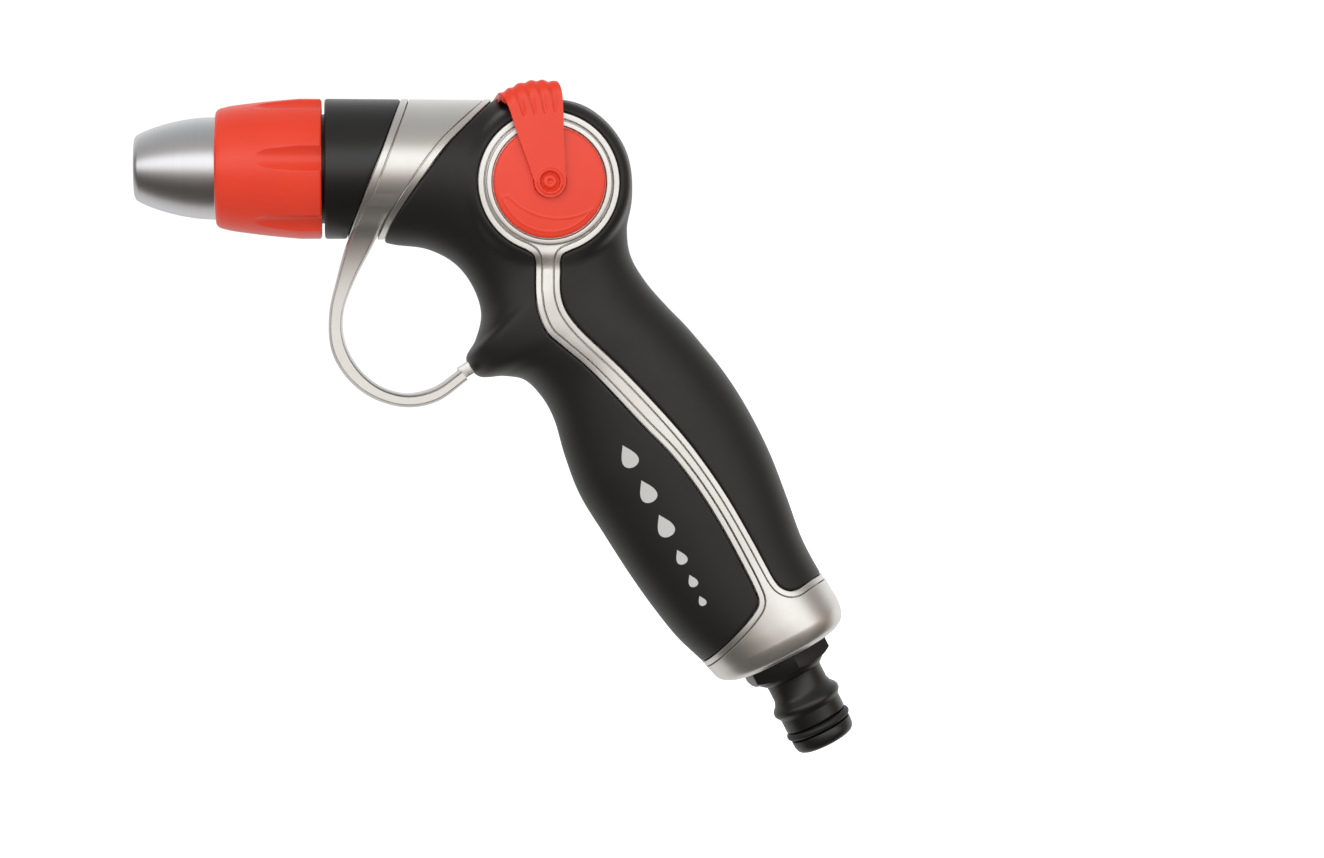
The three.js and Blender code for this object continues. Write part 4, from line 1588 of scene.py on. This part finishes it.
@dataclass
class SideStack:
    """The rings, discs and screws on one side of the valve."""

    side: Side
    cap_r: float = 14.75
    disc_r: float = 13.1
    cap_back: float = 15.2
    cap_face: float = 18.4
    disc_face: float = 19.72
    disc_dome: float = 0.5
    rim: tuple[Pair, ...] = ((12.6, 0.04), (12.9, 0.16), (13.05, 0.34), (13.1, 0.6), (13.1, 1.9))
    mark_rise: float = 0.16
    mark_r: float = 12.0
    mark_top: float = -3.1
    hollow_at: Pair = (2.0, 7.2)
    hollow_r: float = 15.5
    line_in: float = 0.25
    line_half: float = 0.3

    def build(self) -> None:
        """Make the bearing cap's ring, the red disc with its flow mark and the screw."""
        label = self.side.name.lower()
        self._cap(label)
        self._disc(label)
        self._screw(label)

    def _set_on_axis(self, piece: bpy.types.Object) -> None:
        """Stand a turned piece on the valve axis, facing outwards."""
        Bench.aim(piece, (0, self.side.value, 0), (0, 0, 0))

    def _cap(self, label: str) -> None:
        """Make the inner silver ring."""
        profile = [
            (self.cap_back, self.disc_r + 0.3),
            (self.cap_back, self.cap_r),
            (self.cap_face - 0.3, self.cap_r),
            (self.cap_face - 0.08, self.cap_r - 0.22),
            (self.cap_face, self.cap_r - 0.5),
            (self.cap_face - 0.02, self.disc_r + 0.5),
            (self.cap_face - 0.16, self.disc_r + 0.3),
            (self.cap_face - 1.0, self.disc_r + 0.2),
        ]
        cap = Bench.turn(f"bearing_cap_{label}", profile, 144, closed=True)
        Bench.smooth(cap, 24)
        floor_profile = [(self.cap_back, 13.6), (17.0, 13.6)]
        floor = Bench.turn(f"cap_floor_{label}", floor_profile, 96)
        self._set_on_axis(cap)
        self._set_on_axis(floor)
        piece = Bench.join(f"bearing_cap_{label}", [cap, floor])
        Bench.finish(
            piece, SATIN_SILVER_PAINTED_ABS, Body.GUN, "silver_body", [f"valve_cap_{label}"]
        )

    def _disc(self, label: str) -> None:
        """Make the red disc, with the raised flow mark moulded low on its face."""
        angles = np.linspace(0, 2 * math.pi, 193)
        flat = [(radius, 0.0) for radius in np.linspace(0.02, 12.2, 56)]
        rows = []
        for radius, fall in [*flat, *self.rim]:
            x, z = radius * np.cos(angles), radius * np.sin(angles)
            face = self.disc_face - self.disc_dome * (radius / self.disc_r) ** 2 - fall
            y = self.side.value * (face + self._flow_mark(x, z))
            rows.append(np.stack([x, y, z], axis=1))
        piece = Bench.lay_grid(f"red_disc_{label}", np.array(rows), wrap=True)
        Bench.smooth(piece, 60)
        Bench.finish(piece, MOULDED_RED_ABS, Body.LEVER, "red_plastic", [f"lever_disc_{label}"])

    def _flow_mark(self, x: np.ndarray, z: np.ndarray) -> np.ndarray:
        """Return the height of the flow mark: the thin raised outline of a wedge.

        Args:
            x: Places along the gun.
            z: Heights.

        Returns:
            Height above the disc.
        """
        outer = self.mark_r - np.hypot(x, z)
        inner = np.hypot(x - self.hollow_at[0], z - self.hollow_at[1]) - self.hollow_r
        blunt = self.mark_top - z + 0.05 * (x + 8.5)
        depth = np.minimum(np.minimum(outer, inner), blunt)
        ridge = np.clip(1 - np.abs(depth - self.line_in) / self.line_half, 0, 1)
        return self.mark_rise * ease(ridge)

    def _screw(self, label: str) -> None:
        """Make the domed screw in the lever's boss, with a dimple in its middle."""
        profile = [
            (19.5, 1.5), (20.35, 1.5), (20.35, 1.75), (20.9, 1.75), (21.15, 1.5), (21.28, 1.1),
            (21.3, 0.75), (21.2, 0.6), (20.95, 0.42), (20.9, 0.1),
        ]
        screw = Bench.turn(f"pivot_pin_{label}", profile, 48)
        Bench.smooth(screw, 50)
        self._set_on_axis(screw)
        Bench.finish(screw, MOULDED_RED_ABS, Body.LEVER, "red_plastic", [f"pivot_screw_{label}"])


@dataclass
class ThumbLever:
    """The red lever: an arm on each side and a ribbed pad that bridges over the hub."""

    outer_half: float = 21.3
    shoulder: float = 3.4
    wall: float = 1.7
    boss_r: float = 3.7
    boss_rise: float = 0.3
    boss_top: float = 3.6
    dish_r: float = 2.3
    dish_depth: float = 1.0
    groove_depth: float = 0.42
    groove_at: tuple[float, ...] = (0.15, 0.35, 0.55, 0.76, 0.92)
    groove_start: float = 15.9
    groove_width: float = 0.03
    groove_spread: float = 0.028
    nose_from: float = 0.9
    nose_groove_start: float = 19.5
    arch: float = 1.5
    rear_edge: tuple[Pair, ...] = (
        (3.7, 0.0), (3.4, 6.0), (3.2, 11.4), (3.1, 16.1), (2.85, 20.1), (2.4, 22.2), (1.8, 23.5),
    )
    front_edge: tuple[Pair, ...] = (
        (-3.7, 0.0), (-4.9, 3.6), (-6.7, 8.5), (-8.2, 12.9), (-9.2, 16.1), (-10.4, 19.0),
        (-11.9, 20.7),
    )

    def build(self) -> None:
        """Make the lever as one moulding."""
        sheet = self._sheet()
        Bench.modify(sheet, "SOLIDIFY", thickness=self.wall, offset=-1.0, use_even_offset=True)
        Bench.soften(sheet, 0.3, 3, 55)
        Bench.smooth(sheet, 40)
        Bench.finish(sheet, MOULDED_RED_ABS, Body.LEVER, "red_plastic", ["thumb_lever"])

    def _path(self) -> list[tuple[float, float, float]]:
        """Return the way up one arm, over the pad and down the other.

        Returns:
            (y, height, lean) for each row, lean being 0 on the arms and 1 on the pad.
        """
        top = self.rear_edge[-1][1]
        below = [-self.boss_r * math.cos(a) for a in np.linspace(0.02, math.pi / 2, 16)]
        lower = np.linspace(0, self.boss_top, 16)
        upper = np.linspace(self.boss_top, top - self.shoulder, 40)
        rise = np.concatenate([below[:-1], lower[:-1], upper])
        path = [(-self.outer_half, float(height), 0.0) for height in rise]
        for a in np.linspace(0, math.pi / 2, 14)[1:]:
            y = -self.outer_half + self.shoulder * (1 - math.cos(a))
            path.append((y, top - self.shoulder + self.shoulder * math.sin(a), math.sin(a)))
        path += [(float(y), top, 1.0) for y in np.linspace(path[-1][0], 0, 18)[1:]]
        return path + [(-y, height, lean) for y, height, lean in reversed(path[:-1])]

    def _edges(self, height: float) -> tuple[np.ndarray, np.ndarray]:
        """Return the rear and front edge points of a row.

        Args:
            height: Height of the row at the rear edge; below zero it is round the boss.

        Returns:
            The two (x, z) points.
        """
        if height <= 0:
            half = math.sqrt(max(self.boss_r**2 - height**2, 1e-6))
            return np.array([half, height]), np.array([-half, height])
        share = height / self.rear_edge[-1][1]
        rear, front = (even(catmull(edge, 12), 401) for edge in (self.rear_edge, self.front_edge))
        k = share * 400
        low, part = min(int(k), 399), k - min(int(k), 399)
        return (
            rear[low] * (1 - part) + rear[low + 1] * part,
            front[low] * (1 - part) + front[low + 1] * part,
        )

    def _relief(self, across: np.ndarray, height: float) -> np.ndarray:
        """Return how far the thumb grooves sink the surface.

        Args:
            across: Shares of the way from the rear edge to the front edge.
            height: Height of the row.

        Returns:
            Heights off the plain surface, none of them above zero.
        """
        fade = ease(float(np.clip((height - self.groove_start) / 0.9, 0, 1)))
        spread = float(np.clip((height - self.groove_start) / 5.0, 0, 1))
        width = self.groove_width + self.groove_spread * spread
        relief = np.zeros_like(across)
        for place in self.groove_at:
            late = 1.0
            if place > self.nose_from:
                late = float(np.clip((height - self.nose_groove_start) / 2.0, 0, 1))
            depth = self.groove_depth * (fade * late)
            relief -= depth * np.exp(-(((across - place) / width) ** 2))
        return relief

    def _boss(self, reach: np.ndarray) -> np.ndarray:
        """Return the boss's raised face, less its dish, at distances from the pin."""
        dish = self.dish_depth * ease(np.clip((self.dish_r + 0.2 - reach) / 0.45, 0, 1))
        rim = self.boss_rise * np.clip((self.boss_r - 0.5 - reach) / 0.3, 0, 1)
        return rim - dish

    def _sheet(self) -> bpy.types.Object:
        """Lay the lever's outer surface, dished round each pin."""
        across = np.linspace(0, 1, 85)
        rows = []
        for y, height, lean in self._path():
            rear, front = self._edges(height)
            plane = (1 - across)[:, None] * rear + across[:, None] * front
            x, z = plane[:, 0], plane[:, 1].copy()
            z += np.sin(math.pi * across) * self.arch * lean
            relief = self._relief(across, height)
            side = math.copysign(math.sqrt(max(1 - lean**2, 0)), y) if y else 0.0
            out = relief if lean else relief + self._boss(np.hypot(x, z))
            turn = np.arctan2(x, z) * lean
            step = out * lean
            rows.append(
                np.stack([x + step * np.sin(turn), y + side * out, z + step * np.cos(turn)], axis=1)
            )
        piece = Bench.lay_grid("lever_yoke", np.array(rows))
        top = max(piece.data.polygons, key=lambda polygon: polygon.center.z)
        if top.normal.z < 0:
            piece.data.flip_normals()
        return piece


@dataclass
class GripPrint:
    """A row of water drops printed on the left side of the grip, shrinking down the handle."""

    drops: tuple[tuple[float, float, float], ...] = (
        (18.7, -64.4, 2.9), (23.1, -72.7, 2.9), (27.3, -80.9, 2.9), (31.2, -88.4, 1.9),
        (34.0, -94.1, 1.6), (36.3, -98.9, 1.3),
    )
    slim: float = 0.95
    point: float = 1.4
    ink: float = 0.03

    def build(self) -> None:
        """Print the drops."""
        marks = [self._drop(x, z, size) for x, z, size in self.drops]
        piece = Bench.join("grip_print", marks)
        Bench.finish(piece, PRINTED_GREY_INK, Body.GUN, "soft_grip")

    def _drop(self, x: float, z: float, size: float) -> bpy.types.Object:
        """Lay one drop on the skin, its point up the handle.

        Args:
            x: Its middle along the gun.
            z: Its middle's height.
            size: Half its length.

        Returns:
            The drop.
        """
        turn = np.linspace(0, 2 * math.pi, 41)
        up = np.cos(turn)
        aside = self.slim * np.sin(turn) * np.sin(turn / 2) ** self.point
        rows = []
        for share in np.linspace(0.02, 1.0, 9):
            outline = np.array([x, z]) + share * size * (
                -up[:, None] * DOWN[None, :] + aside[:, None] * ACROSS[None, :]
            )
            v, phi = SKIN.locate(outline)
            rows.append(SKIN.point(v, phi) + self.ink * SKIN.normal(v, phi))
        piece = Bench.lay_grid("drop", np.array(rows), wrap=True)
        Bench.face_outwards(piece)
        Bench.smooth(piece, 60)
        return piece


@dataclass
class HoseInlet:
    """The hexagon and quick-connect nipple under the handle."""

    across_flats: float = 20.0
    hexagon_deep: float = 4.6
    hexagon_turn: float = math.radians(-6)
    base: float = 126.5

    def build(self) -> None:
        """Make the nipple and its seal ring."""
        axis = (DOWN[0], 0.0, DOWN[1])
        self._nipple(axis)
        self._seal(axis)

    def _nipple(self, axis: Sequence[float]) -> None:
        """Make the nipple, one moulding with its hexagon."""
        profile = [
            (126.0, 7.6), (131.2, 7.6), (132.6, 7.2), (134.0, 7.05), (137.0, 7.05), (138.3, 7.5),
            (139.3, 8.4), (139.9, 8.65), (140.7, 8.65), (141.2, 8.3), (142.0, 7.75),
            (144.9, 7.75), (145.3, 7.7), (145.4, 6.6), (147.8, 6.6), (147.9, 7.75), (149.5, 7.7),
            (150.5, 7.45), (151.1, 6.95), (151.4, 6.3), (151.4, 4.9), (151.1, 4.6), (126.0, 4.6),
        ]
        spindle = Bench.turn("nipple", profile, 112, closed=True)
        Bench.soften(spindle, 0.12, 2)
        Bench.smooth(spindle, 32)
        hexagon = self._hexagon()
        for part in (spindle, hexagon):
            Bench.aim(part, axis, (0, 0, 0))
        piece = Bench.join("quick_connect_nipple", [spindle, hexagon])
        Bench.finish(piece, MOULDED_BLACK_ABS, Body.GUN, "black_plastic", ["hose_nipple"])

    def _hexagon(self) -> bpy.types.Object:
        """Make the hexagon with its corners turned off underneath."""
        corner = self.across_flats / math.sqrt(3)
        low, high = self.base, self.base + self.hexagon_deep
        hexagon = Bench.turn("hexagon", [(low, corner), (high, corner)], 6)
        hexagon.data.transform(Matrix.Rotation(self.hexagon_turn, 4, "Z"))
        chamfer = Bench.turn(
            "corner_cone",
            [(low - 1, corner + 1), (high - 1.1, corner + 0.3), (high + 0.9, corner - 2.6)],
            96,
        )
        Bench.combine(hexagon, chamfer, "INTERSECT")
        Bench.soften(hexagon, 0.25, 2, 20)
        Bench.smooth(hexagon, 22)
        collar = Bench.turn(
            "hexagon_foot", [(high - 0.6, 9.2), (high + 0.5, 9.0), (high + 1.7, 7.6)], 96
        )
        Bench.smooth(collar, 40)
        return Bench.join("hexagon", [hexagon, collar])

    @staticmethod
    def _seal(axis: Sequence[float]) -> None:
        """Make the rubber seal ring."""
        turn = np.linspace(0, 2 * math.pi, 17)[:-1]
        profile = [(146.6 + 0.95 * math.cos(a), 7.4 + 0.9 * math.sin(a)) for a in turn]
        seal = Bench.turn("nipple_seal_ring", profile, 112, closed=True)
        Bench.smooth(seal, 60)
        Bench.aim(seal, axis, (0, 0, 0))
        Bench.finish(seal, MOULDED_NBR, Body.GUN, "seal_rubber", ["nipple_seal"])


@dataclass
class Workings:
    """The pieces inside that keep their CAD shape."""

    finishes: dict[str, Finish] = field(
        default_factory=lambda: {
            "outlet_seat": MOULDED_ACETAL,
            "inlet_seat": MOULDED_ACETAL,
            "valve_rotor": MOULDED_ACETAL,
            "thread_insert": MOULDED_ACETAL,
            "rotor_seal_left": MOULDED_NBR,
            "rotor_seal_right": MOULDED_NBR,
            "nozzle_seal": MOULDED_NBR,
            "barrel_seal": MOULDED_NBR,
            "inlet_washer": MOULDED_NBR,
            "barrel_tube": TURNED_BRASS,
            "spray_stem": STAINLESS_STEEL,
            "inlet_filter": STAINLESS_STEEL,
        }
    )

    def build(self) -> None:
        """Dress each CAD node that stays."""
        for node, finish in self.finishes.items():
            PALETTE.dress(frame["nodes"][node], finish)
            LOG.info("%s keeps its CAD shape in %s", node, finish.name)


@dataclass(frozen=True)
class SoftBox:
    """One soft box, hung so that it faces the gun.

    Directions are in degrees round from the front (-Y) towards +X, and up from level.
    """

    name: str
    azimuth: float
    height: float
    distance: float
    size: Pair
    radiance: float
    reflected: bool


@dataclass
class Studio:
    """The floor, the lights and the camera."""

    floor_z: float = -0.12
    floor_size: float = 14.0
    floor_glow: float = 0.05
    floor_shown: float = 0.75
    backdrop: float = 1.05
    steep_from: float = 0.6
    level_to: float = 0.2
    sensor: float = 36.0
    camera_at: tuple[float, float, float] = (-0.07947, -0.720, 0.04441)
    azimuth: float = math.radians(-5.932)
    elevation: float = math.radians(2.462)
    lens: float = 81.57
    boxes: tuple[SoftBox, ...] = (
        SoftBox("fill_box", -20.0, 40.0, 1.4, (1.2, 1.2), 1.35, False),
        SoftBox("back_box", 180.0, 45.0, 1.4, (1.2, 1.0), 1.2, False),
    )
    # Brightness and tint of the room by the angle round the barrel's axis, in degrees up from
    # the front: dark bench below, plain grey above, bright paper behind.
    room: tuple[tuple[float, float, str], ...] = (
        (-180.0, 1.00, "FFFFFF"),
        (-140.0, 0.85, "FFFFFF"),
        (-104.0, 0.68, "FFFAF6"),
        (-91.0, 0.12, "FFF4EA"),
        (-50.0, 0.07, "FFF4EA"),
        (-30.0, 0.17, "FFF0E4"),
        (-13.0, 0.36, "FFEEE2"),
        (-5.0, 1.15, "FFFAF4"),
        (6.0, 1.60, "FFFFFF"),
        (27.0, 1.55, "FFFFFF"),
        (37.0, 0.46, "FFF6EE"),
        (80.0, 0.46, "FFFFFF"),
        (110.0, 0.62, "FFFFFF"),
        (150.0, 1.00, "FFFFFF"),
        (180.0, 1.10, "FFFFFF"),
    )
    # The same by the angle round the upright, in degrees from the front towards +X: the front
    # light ends on both sides in a dark gap before the paper behind.
    sides: tuple[tuple[float, float, str], ...] = (
        (-180.0, 0.70, "FFFFFF"),
        (-120.0, 0.62, "FFFFFF"),
        (-106.0, 0.26, "FFF4EA"),
        (-80.0, 0.26, "FFE8DA"),
        (-66.0, 1.00, "FFFFFF"),
        (50.0, 1.00, "FFFFFF"),
        (64.0, 0.40, "FFE4D0"),
        (98.0, 0.42, "FFE4D0"),
        (112.0, 1.00, "FFFFFF"),
        (180.0, 1.00, "FFFFFF"),
    )

    def build(self) -> None:
        """Set up the camera, the light and the floor."""
        self._camera()
        self._world()
        for box in self.boxes:
            self._hang(box)
        self._floor()

    def _camera(self) -> None:
        """Place the camera."""
        data = bpy.data.cameras.new("camera")
        data.lens = self.lens
        data.sensor_width = self.sensor
        data.clip_start = 0.01
        camera = bpy.data.objects.new("camera", data)
        camera.location = self.camera_at
        camera.rotation_euler = (math.pi / 2 - self.elevation, 0.0, self.azimuth)
        bpy.context.scene.collection.objects.link(camera)
        bpy.context.scene.camera = camera

    def _world(self) -> None:
        """Make a white backdrop that the camera sees, and the room that lights the gun."""
        world = bpy.data.worlds.new("studio")
        bpy.context.scene.world = world
        world.use_nodes = True
        tree = world.node_tree
        tree.nodes.clear()
        direction = add_node(tree, "ShaderNodeTexCoord")
        axes = add_node(
            tree, "ShaderNodeSeparateXYZ", links={"Vector": direction.outputs["Generated"]}
        )
        front = add_node(
            tree,
            "ShaderNodeMath",
            operation="MULTIPLY",
            inputs={1: -1.0},
            links={0: axes.outputs["Y"]},
        ).outputs["Value"]
        rise = self._ramp(tree, self.room, axes.outputs["Z"], front)
        round_ = self._ramp(tree, self.sides, axes.outputs["X"], front)
        steep = add_node(
            tree, "ShaderNodeMath", operation="ABSOLUTE", links={0: axes.outputs["Z"]}
        )
        level = add_node(
            tree,
            "ShaderNodeMapRange",
            inputs={"From Min": self.steep_from, "From Max": self.level_to},
            links={"Value": steep.outputs["Value"]},
        )
        room = add_node(
            tree,
            "ShaderNodeMix",
            data_type="RGBA",
            blend_type="MULTIPLY",
            links={0: level.outputs["Result"], 6: rise, 7: round_},
        )
        sky = add_node(
            tree,
            "ShaderNodeBackground",
            inputs={"Strength": 1.0},
            links={"Color": room.outputs[2]},
        )
        white = add_node(
            tree,
            "ShaderNodeBackground",
            inputs={"Color": (1.0, 1.0, 1.0, 1.0), "Strength": self.backdrop},
        )
        path = add_node(tree, "ShaderNodeLightPath")
        mix = add_node(
            tree,
            "ShaderNodeMixShader",
            links={
                0: path.outputs["Is Camera Ray"],
                1: sky.outputs["Background"],
                2: white.outputs["Background"],
            },
        )
        add_node(tree, "ShaderNodeOutputWorld", links={"Surface": mix.outputs["Shader"]})
        bpy.context.scene.view_settings.view_transform = "Standard"
        bpy.context.scene.view_settings.look = "None"

    @staticmethod
    def _ramp(
        tree: bpy.types.NodeTree,
        levels: Sequence[tuple[float, float, str]],
        over: bpy.types.NodeSocket,
        front: bpy.types.NodeSocket,
    ) -> bpy.types.NodeSocket:
        """Colour the room by an angle from the front.

        Args:
            tree: The world's nodes.
            levels: (degrees, brightness, tint) stops in order.
            over: The direction's part along the side that the angle opens towards.
            front: The direction's part towards the front.

        Returns:
            The colour.
        """
        angle = add_node(tree, "ShaderNodeMath", operation="ARCTAN2", links={0: over, 1: front})
        share = add_node(
            tree,
            "ShaderNodeMapRange",
            inputs={"From Min": -math.pi, "From Max": math.pi},
            links={"Value": angle.outputs["Value"]},
        )
        ramp = add_node(tree, "ShaderNodeValToRGB", links={"Fac": share.outputs["Result"]})
        stops = ramp.color_ramp.elements
        while len(stops) < len(levels):
            stops.new(0.5)
        for stop, (degrees, level, tint) in zip(stops, levels):
            stop.position = (degrees + 180) / 360
            colour = to_linear(tint)
            stop.color = (colour[0] * level, colour[1] * level, colour[2] * level, 1.0)
        return ramp.outputs["Color"]

    @staticmethod
    def _hang(box: SoftBox) -> None:
        """Hang a soft box.

        Args:
            box: What hangs where.
        """
        data = bpy.data.lights.new(box.name, "AREA")
        data.shape = "RECTANGLE"
        data.size, data.size_y = box.size
        data.energy = box.radiance * math.pi * box.size[0] * box.size[1]
        round_, up = math.radians(box.azimuth), math.radians(box.height)
        away = Vector(
            (math.sin(round_) * math.cos(up), -math.cos(round_) * math.cos(up), math.sin(up))
        )
        light = bpy.data.objects.new(box.name, data)
        light.location = away * box.distance
        light.rotation_euler = away.to_track_quat("Z", "Y").to_euler()
        light.visible_glossy = box.reflected
        light.visible_camera = False
        bpy.context.scene.collection.objects.link(light)

    def _floor(self) -> None:
        """Lay the plain pale floor, which lights the gun a little but isn't mirrored in it."""
        bpy.ops.object.select_all(action="DESELECT")
        bpy.ops.mesh.primitive_plane_add(size=self.floor_size, location=(0, 0, self.floor_z))
        floor = bpy.context.object
        floor.name = "floor"
        floor.visible_glossy = False
        material = bpy.data.materials.new("pale_floor")
        material.use_nodes = True
        tree = material.node_tree
        tree.nodes.clear()
        place = add_node(tree, "ShaderNodeTexCoord")
        cloud = add_node(
            tree,
            "ShaderNodeTexNoise",
            inputs={"Scale": 1.5},
            links={"Vector": place.outputs["Object"]},
        )
        tint = add_node(
            tree,
            "ShaderNodeMix",
            data_type="RGBA",
            inputs={6: to_linear("DEDEDE"), 7: to_linear("DADADA")},
            links={0: cloud.outputs["Fac"]},
        )
        diffuse = add_node(tree, "ShaderNodeBsdfDiffuse", links={"Color": tint.outputs[2]})
        path = add_node(tree, "ShaderNodeLightPath")
        shown = add_node(
            tree,
            "ShaderNodeMapRange",
            inputs={"To Min": self.floor_glow, "To Max": self.floor_shown},
            links={"Value": path.outputs["Is Camera Ray"]},
        )
        glow = add_node(
            tree,
            "ShaderNodeEmission",
            inputs={"Color": (1, 1, 1, 1)},
            links={"Strength": shown.outputs["Result"]},
        )
        both = add_node(
            tree,
            "ShaderNodeAddShader",
            links={0: diffuse.outputs["BSDF"], 1: glow.outputs["Emission"]},
        )
        add_node(tree, "ShaderNodeOutputMaterial", links={"Surface": both.outputs["Shader"]})
        floor.data.materials.append(material)


def main() -> None:
    """Build the studio and every sub-assembly."""
    logging.basicConfig(level=logging.INFO, format="%(name)s %(message)s")
    Studio().build()
    Nozzle().build()
    BandAndGuard().build()
    for side in Side:
        SideStack(side).build()
    ThumbLever().build()
    HoseInlet().build()
    GripAndBody().build()
    GripPrint().build()
    Workings().build()
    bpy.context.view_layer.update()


if __name__ == "__main__":
    main()
